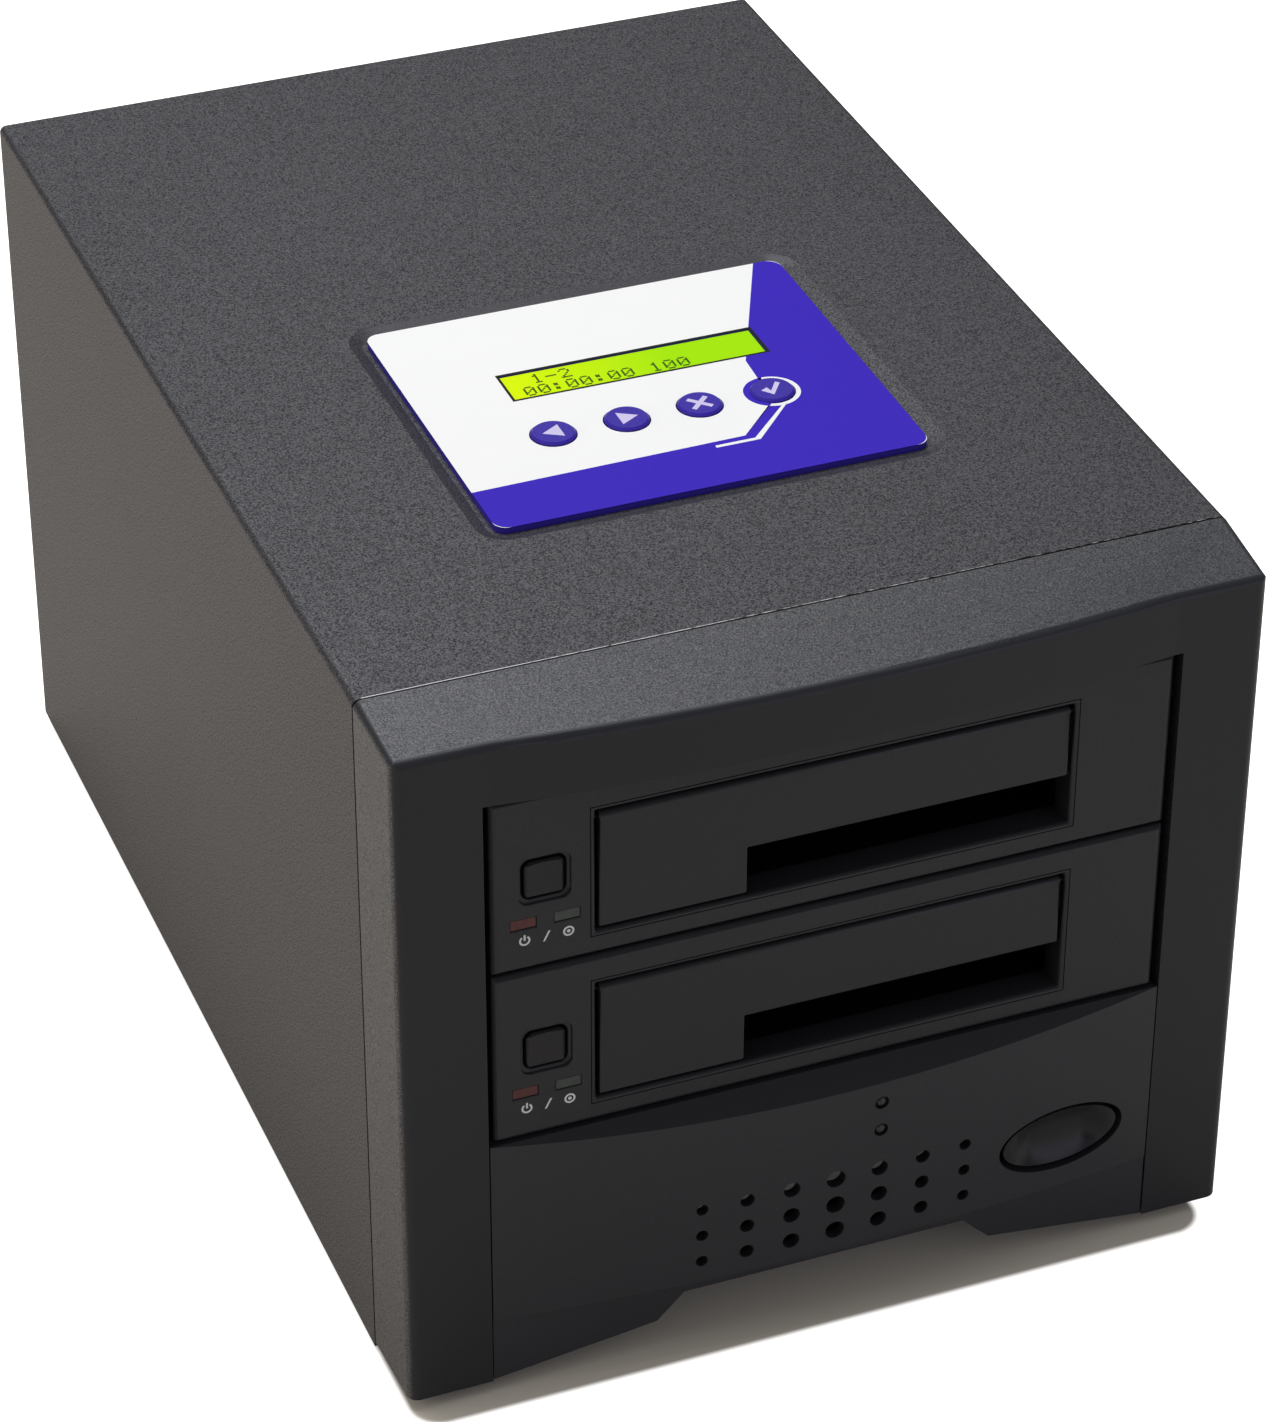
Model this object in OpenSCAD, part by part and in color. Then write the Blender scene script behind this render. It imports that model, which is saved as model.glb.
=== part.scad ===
// Desktop hard drive duplicator: a folded steel case with a moulded front,
// two trayless drive bays with spring doors, and a control panel on its lid.
// Millimetres. X runs to the right seen from the front, Y to the back, Z up.

/* [Case] */
// Width across the back of the moulded front bezel
body_w = 189.2; // [187:0.2:200]
// Height of the front bezel, from its lower edge to its top
body_h = 163.8; // [147:0.2:200]
// Depth from the flat bezel pillars to the rear face
body_d = 279.5; // [270:0.5:330]
// Clear height under the bezel
ground_gap = 3; // [2:0.5:6]
// Thickness of the folded steel sheet
sheet = 1; // [0.8:0.1:1.4]
// Clearance between pieces that are fitted into each other
fit = 0.2; // [0.1:0.05:0.3]
// Outer bend radius of the cover
bend_r = 1.6; // [1.4:0.1:4]
// Height of the flanges of the base pan
flange_h = 14; // [8:1:30]
// Width of the lip that the cover folds over the rear panel
lip_w = 9; // [7:0.5:11]

/* [Front bezel] */
// Depth of the bezel, from its pillars to the seam with the cover
bezel_d = 20.5; // [20:0.5:26]
// How much narrower the bezel is at its front than at its back, on each side
bezel_draft = 0.7; // [0:0.1:1.5]
// Wall of the mouldings
mould_wall = 2.5; // [2:0.1:3]
// How far the bezel stands out of the cover at each side
bezel_proud = 0; // [0:0.1:1]
// Forward bow of the hood and of the lower panel
bow = 4.4; // [3:0.1:7]
// Height of the hood over the bays
hood_h = 16.5; // [13:0.5:20]
// Rounding of the bezel's upright front edges
edge_r = 2.4; // [1.5:0.1:4]
// Rounding of the bezel's upper edges
rim_r = 1.8; // [0.8:0.1:2.2]
// Open seam between the bezel and the cover
seam = 0.7; // [0.2:0.05:0.9]

/* [Lower panel] */
// Height of the bowed panel's lower edge over the bezel's lower edge
chin_z = 16.4; // [15:0.2:18]
// Depth of the panel's ledge behind the pillar face
ledge_d = 14; // [10:0.5:17]
// Half width of the arch in the plinth, at its foot
arch_half = 38.5; // [20:0.5:60]
// Height of the plinth's raised arch
arch_h = 11; // [8:0.5:12]
// Columns of vent holes
vent_cols = 7; // [3:2:9]
// Rows of vent holes
vent_rows = 3; // [1:1:3]
// Distance between vent columns
vent_dx = 10; // [7:0.5:10]
// Distance between vent rows, as a share of the bowed panel's height
vent_rise = 0.149; // [0.13:0.001:0.16]
// Height of the lowest vent row over the bowed panel's lower edge, as a share of its height
vent_foot = 0.118; // [0.11:0.001:0.14]
// Diameter of the vents in the middle column
vent_d = 4.3; // [3.5:0.1:5]
// How much smaller each further column of vents is
vent_step = 0.53; // [0:0.01:0.6]
// Diameter of the indicator lamps
led_d = 3; // [2.5:0.1:4]
// Height of the lower indicator over the bowed panel's lower edge, as a share of its height
led_foot = 0.639; // [0.61:0.001:0.65]
// Distance between the two indicators, as a share of the bowed panel's height
led_rise = 0.155; // [0.14:0.001:0.16]

/* [Power button] */
// Width of the oval button
power_w = 27.6; // [24:0.2:30]
// Height of the oval button
power_h = 13.6; // [12:0.2:16]
// Open gap around the button
power_gap = 1.3; // [0.5:0.05:1.6]
// Place of the button to the right of the middle
power_x = 53.5; // [52:0.5:55]
// Height of the button's middle over the bowed panel's lower edge, as a share of its height
power_foot = 0.285; // [0.27:0.001:0.33]
// Travel of the button
power_travel = 2.5; // [1:0.1:3]

/* [Bays] */
// Width of a bay's front plate
bay_w = 148; // [147:0.1:149]
// Height step from one bay to the next
bay_pitch = 42.3; // [41.8:0.1:43]
// Open seam between the two bay plates
bay_seam = 0.7; // [0.4:0.1:1.2]
// Open gap at each side of the bay plates
bay_gap = 1.5; // [1:0.1:2]
// How far the bay plates sit behind the pillar face
bay_recess = 0.4; // [0:0.1:1.5]
// Thickness of a bay plate
plate_t = 7; // [6:0.2:9]
// Chamfer around a bay plate
plate_chamfer = 0.9; // [0.4:0.1:1.2]
// Width of a drive housing
rack_w = 146; // [144:0.5:146]
// Length of a drive housing
rack_d = 168; // [165:1:180]
// Wall of a drive housing
rack_wall = 1.5; // [1.2:0.1:2]

/* [Bay doors] */
// Width of the drive slot
slot_w = 103.9; // [103:0.1:105]
// Height of the drive slot
slot_h = 29.2; // [29:0.1:30]
// Chamfer around the drive slot
slot_lip = 0.5; // [0.3:0.05:0.8]
// How far the drive slot's middle lies below its plate's middle
slot_drop = 0.6; // [0:0.1:1]
// Open gap around a door
door_gap = 0.8; // [0.5:0.05:1]
// Thickness of a door
door_t = 1.8; // [1.6:0.1:2]
// How far a door sits behind its plate
door_recess = 0.3; // [0.2:0.1:1]
// Radius of a door's hinge barrel
barrel_r = 1.2; // [1.15:0.05:1.4]
// Radius of a hinge pin
pin_r = 0.6; // [0.5:0.05:0.7]
// Running clearance between a barrel and its pin
pin_play = 0.06; // [0.03:0.01:0.1]
// Length of a hinge pin held at each side of the slot
pin_seat = 3; // [2:0.5:6]
// Width of the small drive's notch in a door
notch_w = 70.6; // [70:0.1:71]
// Height of the small drive's notch in a door
notch_h = 11; // [10:0.1:12]

/* [Eject mechanism] */
// Place of the eject buttons to the left of the middle
eject_x = 62.6; // [62:0.1:63.5]
// Height of an eject button over its plate's lower edge
eject_z = 21.3; // [20.5:0.1:23]
// Width of an eject button
eject_w = 8.4; // [7.5:0.1:9]
// Open gap around an eject button
eject_gap = 0.6; // [0.4:0.05:0.8]
// Width of the shallow well around an eject button
well_w = 11; // [10.6:0.1:12]
// Travel of an eject button
eject_travel = 6; // [3:0.5:6]
// Radius of a push rod
rod_r = 2; // [1.5:0.1:2.5]
// Reach of an eject lever from its pivot to the push rod
lever_arm = 10; // [9:0.5:11]
// Reach of an eject lever from its pivot to the drive
lever_reach = 10; // [8:0.5:12]
// Radius of an eject lever's pivot
pivot_r = 1.5; // [1.2:0.1:2]
// Width of a bay lamp
lamp_w = 5.5; // [4:0.1:5.8]
// Height of a bay lamp
lamp_h = 2.4; // [2:0.1:3]
// Height of the bay lamps over the plate's lower edge
lamp_z = 11.3; // [10.5:0.1:12]
// Distance between the two lamps of a bay
lamp_dx = 9.3; // [8:0.1:9.6]

/* [Control panel] */
// Width of the control panel
panel_w = 97; // [94:0.5:100]
// Depth of the control panel
panel_d = 85; // [82:0.5:90]
// Place of the panel's middle to the right of the case's middle
panel_x = 1.4; // [-3:0.1:3]
// Place of the panel's middle behind the pillar face
panel_y = 111.6; // [90:0.1:140]
// Corner radius of the panel
panel_r = 3; // [2:0.1:6]
// Thickness of the panel's moulded plate
panel_t = 1.2; // [1:0.1:1.2]
// Thickness of the printed film on the panel
film_t = 0.3; // [0.2:0.05:0.3]
// Margin of the pressed recess around the panel
recess_margin = 4.6; // [4:0.2:7]
// Depth of the pressed recess
recess_h = 1.1; // [0.8:0.1:2.6]
// Slope run of the recess walls
recess_run = 3.4; // [1:0.2:3.6]
// Width of the display window
lcd_w = 58; // [50:0.5:64]
// Depth of the display window
lcd_h = 10.4; // [9:0.1:13]
// Offset of the display from the panel's middle, to the right
lcd_dx = 1.9; // [-4:0.1:4]
// Offset of the display from the panel's middle, to the back
lcd_dy = 10.5; // [9:0.1:14]
// Diameter of a key
key_d = 9.8; // [8:0.1:10.5]
// Distance between keys
key_dx = 16.6; // [14:0.1:18]
// Offset of the key row from the panel's middle, to the front
key_dy = 11; // [10:0.1:14]
// Open gap around a key
key_gap = 0.25; // [0.2:0.05:0.4]
// Travel of a key
key_travel = 0.8; // [0.3:0.1:0.9]

/* [Rear] */
// Width of the power supply
supply_w = 81.5; // [70:0.5:84]
// Height of the power supply
supply_h = 40.5; // [40:0.5:42]
// Length of the power supply
supply_d = 150; // [120:1:160]
// Gap between the power supply and the drive cage
supply_gap = 1.45; // [0.5:0.05:3]
// Size of the case fan
fan_w = 80; // [60:1:80]
// Depth of the case fan
fan_d = 25; // [20:1:30]
// Distance of the case fan's middle below the bezel's top
fan_drop = 58; // [50:1:62]
// Size of the power supply's fan
small_fan_w = 38; // [36:0.5:38]
// Depth of the power supply's fan
small_fan_d = 20; // [15:1:25]
// Height of a screw head
head_h = 2; // [1.5:0.1:2.4]

/* [Feet] */
// Diameter of a rubber foot
foot_d = 16; // [12:0.5:20]
// Distance between the feet across the case
foot_dx = 150; // [120:1:155]
// Distance of the feet from the front and rear of the base pan
foot_inset = 20; // [15:1:40]

/* [Hidden] */
$fn = 64;
BAYS = ["lower", "upper"];

// The whole part is centred front to back, from the bow to the rear screw heads
front_y = (bow - body_d - head_h) / 2;

// Levels and widths of the case
z_low = ground_gap;
z_top = ground_gap + body_h;
cover_w = body_w - 2 * bezel_proud;
cover_drop = 0.2;
cover_sink = 1.6;
cover_z = z_low - cover_sink;
cover_top = z_top - cover_drop;
pan_lift = 2;
pan_z = z_low + pan_lift;
pan_top = pan_z + sheet;
pan_half = cover_w / 2 - sheet - fit;
rear_out = body_d - sheet;
rear_in = body_d - 2 * sheet;
pan_y = bezel_d + seam;

// The bay opening and the bow of the front
opening_w = bay_w + 2 * bay_gap;
opening_top = z_top - hood_h;
opening_z = opening_top - 2 * bay_pitch;
collar = 2;
hood_inset = 2;
hood_step = 0.2;
hood_back = 4;
bow_half = opening_w / 2 - hood_inset;
bow_rise = bow - hood_step;
bow_r = (bow_half * bow_half + bow_rise * bow_rise) / (2 * bow_rise);
draft_lean = atan(bezel_draft / bezel_d);
front_half = body_w / 2 - bezel_draft;
corner_reach = edge_r / tan(45 + draft_lean / 2);
eps = 1;

// Lower panel
insert_gap = 0.3;
insert_w = opening_w - 2 * insert_gap;
insert_z = z_low + chin_z;
panel_h = opening_z - insert_z;
vent_z = insert_z + vent_foot * panel_h;
vent_dz = vent_rise * panel_h;
plinth_set = 0.3;
arch_toe = 4.8;
arch_edge = 0.2;
led_x = vent_dx;
led_z = insert_z + led_foot * panel_h;
led_dz = led_rise * panel_h;
led_play = 0.1;
led_flange = 0.4;
led_set = 0.5;
led_back = 2;
guide_wall = 1.6;
guide_end = 8;
flange_play = 0.3;
flange_y = guide_end + flange_play;
power_flange = 1.2;
power_low = mould_wall + power_h / 2 + power_gap + power_flange + flange_play;
power_z = insert_z + max(power_foot * panel_h, power_low);
power_set = 1.2;
power_dish = 1.3;
power_dish_r = 24;
power_dish_share = 0.63;
power_dish_w = power_dish_share * power_w;
plunger_r = 2.5;
plunger_len = 5.5;
plunger_tip = guide_end + plunger_len;
plunger_play = 0.4;
plunger_room = 1;
board_t = 1.6;
switch_y = 19;
switch_w = 10;
switch_len = 6.5;
wire_r = 0.4;
power_coil_gap = 0.7;
power_coil_r = switch_w * sqrt(2) / 2 + power_coil_gap;
power_turns = 4;
lead_w = 0.5;
lead_dx = 1.28;
post_r = 3;
board_left = 6;
board_right = 18;
board_below = 12;
board_above = 4;
switch_board_low = [led_x - board_left, power_z - board_below];
switch_board_high = [power_x + board_right, led_z + led_dz + board_above];
post_dx = [25, 13];
post_drop = [3.4, 6.4];
posts = [[power_x - post_dx[0], switch_board_high.y - post_drop[0]],
         [power_x + post_dx[1], switch_board_high.y - post_drop[1]]];

// Bays
bay_h = bay_pitch - bay_seam;
plate_back = bay_recess + plate_t;
slot_z = (bay_h - slot_h) / 2 - slot_drop;
door_w = slot_w - 2 * door_gap;
hinge_y = bay_recess + door_recess + barrel_r;
hinge_z = slot_z + slot_h - door_gap - barrel_r;
rack_z = 0.3;
rack_h = bay_h - 2 * rack_z;
rack_end = plate_back + rack_d;
guide_x = slot_w / 2 + fit;
guide_len = 139;
guide_stop = plate_back + guide_len;
lever_gap = 7;
lever_y = guide_stop + lever_gap;
lever_t = 3;
lever_w = 4;
lever_hub = 3.2;
lever_x = eject_x - lever_arm;
rod_gap = 0.8;
rod_end = lever_y - lever_w / 2 - rod_gap;
pivot_play = 0.06;
button_tail = 1.6;
button_body = plate_t + button_tail;
button_flange = 1;
flange_bite = 0.6;
button_r = 1.5;
button_bevel = 0.8;
button_dish = 0.45;
button_dish_r = 30;
well_d = 0.8;
well_r = 2;
rod_start = bay_recess + button_body + button_flange;
bracket_t = 2;
squeezed_spring = 8.4;
far_bracket = 121;
brackets = [rod_start + eject_travel + squeezed_spring, plate_back + far_bracket];
eject_coil_gap = 1.3;
eject_coil_r = rod_r + eject_coil_gap;
eject_turns = 6;
pin_fit = 0.02;
leaf_t = 0.3;
leaf_x = -35;
leaf_w = 10;
leaf_run = 20.6;
leaf_seat = 12;
leaf_drop = 0.6;
leaf_tip = 3;
leaf_end = 1;
lamp_play = 0.1;
lamp_recess = 0.3;
lamp_tail = 3;
backplane_gap = 13;
backplane_y = guide_stop + backplane_gap;
backplane_clear = 5;
backplane_x = lever_reach - lever_x + backplane_clear;
connector_w = 46;
connector_h = 7;
connector_d = 9;
connector_shift = 9;
connector_x = slot_w / 2 - notch_w / 2 - connector_shift;
connector_lift = 3;
connector_z = slot_z + connector_lift;
connector_wall = 2;
tongue_h = 2.6;
tongues = [[4, 11], [18, 22]];
screw_r = 1.5;
rack_screw_in = 24;
rack_screw_dy = 100;
rack_screw_y = [bezel_d + rack_screw_in, bezel_d + rack_screw_in + rack_screw_dy];
cage_foot = 8;
cage_slots = 4;
cage_slot_dy = 32;
cage_slot_w = 90;
cage_slot_h = 12;

// Control panel
recess_z = cover_top - recess_h;
film_z = recess_z + panel_t;
key_proud = 0.7;
key_rim = 0.8;
key_rim_gap = 0.2;
key_bevel = 0.5;
key_shift = 0.4;
stem_r = 1.6;
stem_gap = 0.2;
lcd_frame_h = 6;
lcd_border = 6;
lcd_sink = 0.6;
lcd_floor = 1;
lcd_margin = 2;
lcd_bevel = 1;
control_z = recess_z - lcd_frame_h - board_t;
key_switch_w = 6;
key_switch_h = 2.5;
key_stud_h = 3.5;
key_stud_r = 1.7;
switch_top = control_z + board_t + key_stud_h;
board_margin = 2;
chip_w = 20;
chip_y = -18;
chip_t = 1.5;
header_w = 40;
header_y = 33;
header_d = 6;
header_t = 4;
solder_t = 0.2;
floor_side = 6.5;
floor_end = 11.5;
floor_w = panel_w - 2 * floor_side;
floor_d = panel_d - 2 * floor_end;
standoff_in = 7;
standoff_x = panel_w / 2 - standoff_in;
standoff_y = panel_d / 2 - standoff_in;
standoff_r = 2.8;
standoff_head_r = 2.6;
standoff_head_t = 1.5;
standoff_set = 0.5;

// Rear
supply_wall = 1;
supply_y = rear_in - supply_d;
inlet_w = 27;
inlet_h = 19.6;
inlet_rim = 1.6;
inlet_deep = 16;
inlet_lap = 2;
inlet_wall = 1.45;
inlet_key = 4;
inlet_floor = 2;
inlet_share = 0.6;
small_fan_share = 0.15;
blade_w = 2;
blade_h = 4;
blades = [[0, 4], [-7, -1], [7, -1]];
supply_x = rack_w / 2 + fit - supply_gap - supply_w / 2;
supply_free = supply_w - inlet_w - small_fan_w;
inlet_x = supply_x - supply_w / 2 + inlet_w / 2 + inlet_share * supply_free;
small_fan_x = supply_x + supply_w / 2 - small_fan_w / 2 - small_fan_share * supply_free;
window_edge = 2.5;
supply_slots = 10;
supply_slot_dx = 6;
supply_slot_w = 3;
supply_slot_h = 24;
supply_mid = pan_top + supply_h / 2;
fan_mid = z_top - fan_drop;
hole_part = 0.447;
shaft_part = 0.025;
head_r = 2.8;
head_slope = 0.6;
drive_w = 0.6;
drive_len = 3.2;
drive_deep = 0.9;
shank_play = 0.1;
lip_screw_rise = [0.184, 0.736];
lip_screw_x = 50;
lip_mid = lip_w / 2 + sheet;

function bay_z(i) = opening_z + bay_seam / 2 + i * bay_pitch;
function oval(a, b) = [for (i = [0 : 47]) [a * cos(7.5 * i), b * sin(7.5 * i)]];
// Front of the bowed face at a place across the case
function bow_y(x) = bow_r - bow - sqrt(bow_r * bow_r - x * x);

// Moves a piece from the pillar face to its place in the part's own frame
module in_place() {
    translate([0, front_y, 0]) children();
}

// Extrudes an (x, z) outline from front to back
module along_y(y0, y1) {
    translate([0, y1, 0]) rotate([90, 0, 0]) linear_extrude(y1 - y0) children();
}

// Extrudes a (y, z) outline from left to right
module along_x(x0, x1) {
    translate([x0, 0, 0]) rotate([90, 0, 90]) linear_extrude(x1 - x0) children();
}

// Extrudes an (x, y) outline upwards
module along_z(z0, z1) {
    translate([0, 0, z0]) linear_extrude(z1 - z0) children();
}

// A round bar that runs to the back
module bar_y(x, y0, y1, z, r) {
    translate([x, y0, z]) rotate([-90, 0, 0]) cylinder(h = y1 - y0, r = r);
}

// A box given by its low and high corners
module block(low, high) {
    translate(low) cube(high - low);
}

// A centred outline with four round corners
module round_rect(w, h, r) {
    square([w, h - 2 * r], center = true);
    square([w - 2 * r, h], center = true);
    for (x = [-1, 1], y = [-1, 1]) translate([x * (w / 2 - r), y * (h / 2 - r)]) circle(r);
}

// A centred slot with round ends, longer across than high
module slot_outline(w, h) {
    square([w - h, h], center = true);
    for (x = [-1, 1]) translate([x * (w - h) / 2, 0]) circle(h / 2);
}

// An outline that stands on the X axis and has two round upper corners
module round_top(w, h, r) {
    translate([-w / 2, 0]) square([w, h - r]);
    translate([r - w / 2, 0]) square([w - 2 * r, h]);
    for (x = [-1, 1]) translate([x * (w / 2 - r), h - r]) circle(r);
}

// A block with its front face chamfered all round, front at y0
module chamfered_front(w, h, y0, d, c) {
    intersection() {
        along_z(0, h) polygon([[-w / 2, y0 + d], [-w / 2, y0 + c], [c - w / 2, y0],
                               [w / 2 - c, y0], [w / 2, y0 + c], [w / 2, y0 + d]]);
        along_x(-w / 2, w / 2) polygon([[y0 + d, 0], [y0 + c, 0], [y0, c],
                                        [y0, h - c], [y0 + c, h], [y0 + d, h]]);
    }
}

// A cut that flares towards the front by c on every side
module flared_cut(w, h, y0, c) {
    intersection() {
        along_z(-h, h) polygon([[-w / 2, y0 + c], [-w / 2 - 2 * c, y0 - c],
                                [w / 2 + 2 * c, y0 - c], [w / 2, y0 + c]]);
        along_x(-w, w) polygon([[y0 + c, -h / 2], [y0 - c, -h / 2 - 2 * c],
                                [y0 - c, h / 2 + 2 * c], [y0 + c, h / 2]]);
    }
}

// The space behind a bowed face that lies inset behind the front's bow
module behind_bow(inset, z0, z1) {
    translate([0, bow_r - bow, z0]) cylinder(h = z1 - z0, r = bow_r - inset, $fn = 360);
}

// A round wire wound along Z, one unbroken tube with its least gap printed
module coil(mean_r, wire_r, length, turns) {
    steps = 8;
    sides = 6;
    rings = turns * steps;
    rise = (length - 2 * wire_r) / rings;
    points = [for (i = [0 : rings], k = [0 : sides - 1])
        let (a = 360 * i / steps, b = 360 * k / sides, r = mean_r + wire_r * cos(b))
        [r * cos(a), r * sin(a), wire_r + rise * i + wire_r * sin(b)]];
    skin = [for (i = [0 : rings - 1], k = [0 : sides - 1])
        let (p = sides * i + k, q = sides * i + (k + 1) % sides)
        each [[p, q, q + sides], [p, q + sides, p + sides]]];
    last = sides * rings;
    caps = [for (k = [1 : sides - 2]) each [[0, k + 1, k], [last, last + k, last + k + 1]]];
    echo(least_gap = min([for (i = [0 : rings - steps])
        norm(points[sides * (i + steps)] - points[sides * i]) - 2 * wire_r]));
    polyhedron(points, concat(skin, caps));
}

// A pan head screw whose shank runs along -Z from its head's seat at z = 0
module pan_screw(length) {
    difference() {
        union() {
            cylinder(h = head_h, r1 = head_r, r2 = head_r - head_slope);
            translate([0, 0, -length]) cylinder(h = length + head_h / 2, r = screw_r - shank_play);
        }
        for (a = [0, 90]) rotate(a) translate([-drive_len / 2, -drive_w / 2, head_h - drive_deep])
            cube([drive_len, drive_w, 2 * drive_deep]);
    }
}

// Ring shaped slots with cross bars, cut through a plate that faces the back
module fan_slots(size, y0, y1) {
    slot = size / 24;
    first = size * 0.16;
    step = size * 0.1;
    difference() {
        for (i = [0 : 3]) difference() {
            bar_y(0, y0, y1, 0, first + step * i);
            bar_y(0, y0 - eps, y1 + eps, 0, first + step * i - slot);
        }
        for (a = [45, 135]) rotate([0, a, 0]) block([-size, y0 - eps, -slot / 2], [size, y1 + eps, slot / 2]);
    }
}

// The fixed frame of a fan, which blows to +Y from y = 0
module fan_frame(size, depth) {
    bore = size * 0.475;
    hub = size * 0.2;
    bearing = size * 0.07;
    hole = size * hole_part;
    strut = 4;
    strut_t = 3;
    bearing_end = 1.5;
    difference() {
        union() {
            difference() {
                along_y(0, depth) round_rect(size, size, size * 0.06);
                bar_y(0, -eps, depth + eps, 0, bore);
            }
            intersection() {
                for (a = [45, 135]) rotate([0, a, 0])
                    block([-size, depth - strut_t, -strut / 2], [size, depth, strut / 2]);
                bar_y(0, 0, depth, 0, bore + eps);
            }
            bar_y(0, depth - strut_t, depth, 0, hub);
            bar_y(0, depth * 0.35, depth, 0, bearing);
        }
        bar_y(0, -eps, depth - bearing_end, 0, size * shaft_part + pivot_play);
        for (x = [-1, 1], z = [-1, 1]) bar_y(x * hole, -eps, depth + eps, z * hole, screw_r);
    }
}

// The bladed rotor of a fan, with its shaft in the frame's bearing
module fan_rotor(size, depth) {
    tip = size * 0.455;
    hub = size * 0.23;
    hub_wall = 1.5;
    front = depth * 0.1;
    back = depth - 4;
    blade_count = 7;
    blade_twist = 38;
    difference() {
        union() {
            bar_y(0, front, back, 0, hub);
            intersection() {
                for (i = [0 : blade_count - 1]) rotate([0, i * 360 / blade_count, 0])
                    translate([0, (front + back) / 2, size * 0.33]) rotate([0, 0, blade_twist])
                        cube([size * 0.28, size * 0.024, size * 0.3], center = true);
                bar_y(0, front, back, 0, tip);
            }
        }
        bar_y(0, front + hub_wall, back + eps, 0, hub - hub_wall);
    }
    bar_y(0, front + hub_wall / 2, depth - 2 * hub_wall, 0, size * shaft_part);
}

// Base pan: floor with folded side flanges and a low front flange
module base_pan() color("#8d9094") in_place() difference() {
    union() {
        along_y(pan_y, rear_in) difference() {
            translate([-pan_half, pan_z]) square([2 * pan_half, flange_h]);
            translate([sheet - pan_half, pan_top]) square([2 * (pan_half - sheet), flange_h]);
        }
        block([sheet - pan_half, pan_y, pan_z], [pan_half - sheet, pan_y + sheet, pan_z + flange_h]);
    }
    feet_places() translate([0, 0, pan_z - eps]) cylinder(h = sheet + 2 * eps, r = screw_r);
}

// Rear panel with the power supply's window and the slots of the case fan
module rear_panel() color("#34353a") in_place() difference() {
    block([-pan_half, rear_in, pan_z], [pan_half, rear_out, cover_top - sheet - fit]);
    block([supply_x - supply_w / 2 + window_edge, rear_in - eps, pan_top + window_edge],
          [supply_x + supply_w / 2 - window_edge, rear_out + eps, pan_top + supply_h - window_edge]);
    translate([0, 0, fan_mid]) fan_slots(fan_w, rear_in - eps, rear_out + eps);
    screw_places() bar_y(0, -3 * sheet, eps, 0, screw_r);
}

// Where each rear screw's head sits, with its shank to the front
module screw_places() {
    hole = fan_w * hole_part;
    for (x = [-1, 1], z = lip_screw_rise * body_h)
        translate([x * (cover_w / 2 - lip_mid), body_d, z_low + z]) children();
    for (x = [-1, 1]) translate([x * lip_screw_x, body_d, cover_top - lip_mid]) children();
    for (x = [-1, 1], z = [-1, 1]) translate([x * hole, rear_out, fan_mid + z * hole]) children();
}

// Two side plates and a shelf that carry the drive housings
module drive_cage() color("#9a9da1") in_place() difference() {
    inner = rack_w / 2 + fit;
    shelf = bay_z(0) + rack_z;
    top = bay_z(1) + rack_z + rack_h;
    along_y(pan_y + 2 * sheet, rack_end) {
        for (x = [-1, 1]) {
            translate([x * (inner + sheet / 2) - sheet / 2, pan_top]) square([sheet, top - pan_top]);
            translate([x * (inner + cage_foot / 2) - cage_foot / 2, pan_top]) square([cage_foot, sheet]);
        }
        translate([-inner, shelf - sheet]) square([2 * inner, sheet]);
    }
    rack_screw_places() rotate([0, 90, 0]) translate([0, 0, -3 * sheet]) cylinder(h = 6 * sheet, r = screw_r);
    for (i = [1 : cage_slots]) translate([0, pan_y + cage_slot_dy * i, shelf - 2 * sheet])
        linear_extrude(3 * sheet) slot_outline(cage_slot_w, cage_slot_h);
}

// Where each housing screw's head sits on the cage, with its shank inwards
module rack_screw_places() {
    for (s = [0, 1], i = [0, 1], y = rack_screw_y) mirror([s, 0, 0])
        translate([rack_w / 2 + fit + sheet, y, bay_z(i) + bay_h / 2]) children();
}

// Case cover: folded top and sides, a rear lip and the pressed recess
module top_cover() color("#4b4a4d") in_place() difference() {
    union() {
        difference() {
            along_y(bezel_d + seam, body_d)
                translate([0, cover_z]) round_top(cover_w, cover_top - cover_z, bend_r);
            along_y(bezel_d, rear_out) translate([0, cover_z - eps])
                round_top(cover_w - 2 * sheet, cover_top - cover_z - sheet + eps, bend_r - sheet);
            block([lip_w + sheet - cover_w / 2, rear_out - eps, cover_z - eps],
                  [cover_w / 2 - lip_w - sheet, body_d + eps, cover_top - lip_w - sheet]);
        }
        recess_pan(sheet, -sheet);
    }
    recess_pan(0, 0);
    translate([panel_x, panel_y, recess_z - 2 * sheet])
        linear_extrude(3 * sheet) round_rect(floor_w, floor_d, panel_r);
    screw_places() bar_y(0, -3 * sheet, eps, 0, screw_r);
}

// The pressed recess around the control panel, grown by a sheet for its outside
module recess_pan(grow, drop) {
    wide = 2 * (recess_margin + grow);
    slim = 2 * (recess_margin - recess_run + grow);
    slice = 0.1;
    lift = grow > 0 ? -3 * slice : 3 * slice;
    translate([panel_x, panel_y, 0]) hull() {
        translate([0, 0, cover_top + lift - slice]) linear_extrude(slice, $fn = 32)
            round_rect(panel_w + wide, panel_d + wide, panel_r + recess_margin);
        translate([0, 0, recess_z + drop]) linear_extrude(slice, $fn = 32)
            round_rect(panel_w + slim, panel_d + slim, panel_r + slim / 2);
    }
}

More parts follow.
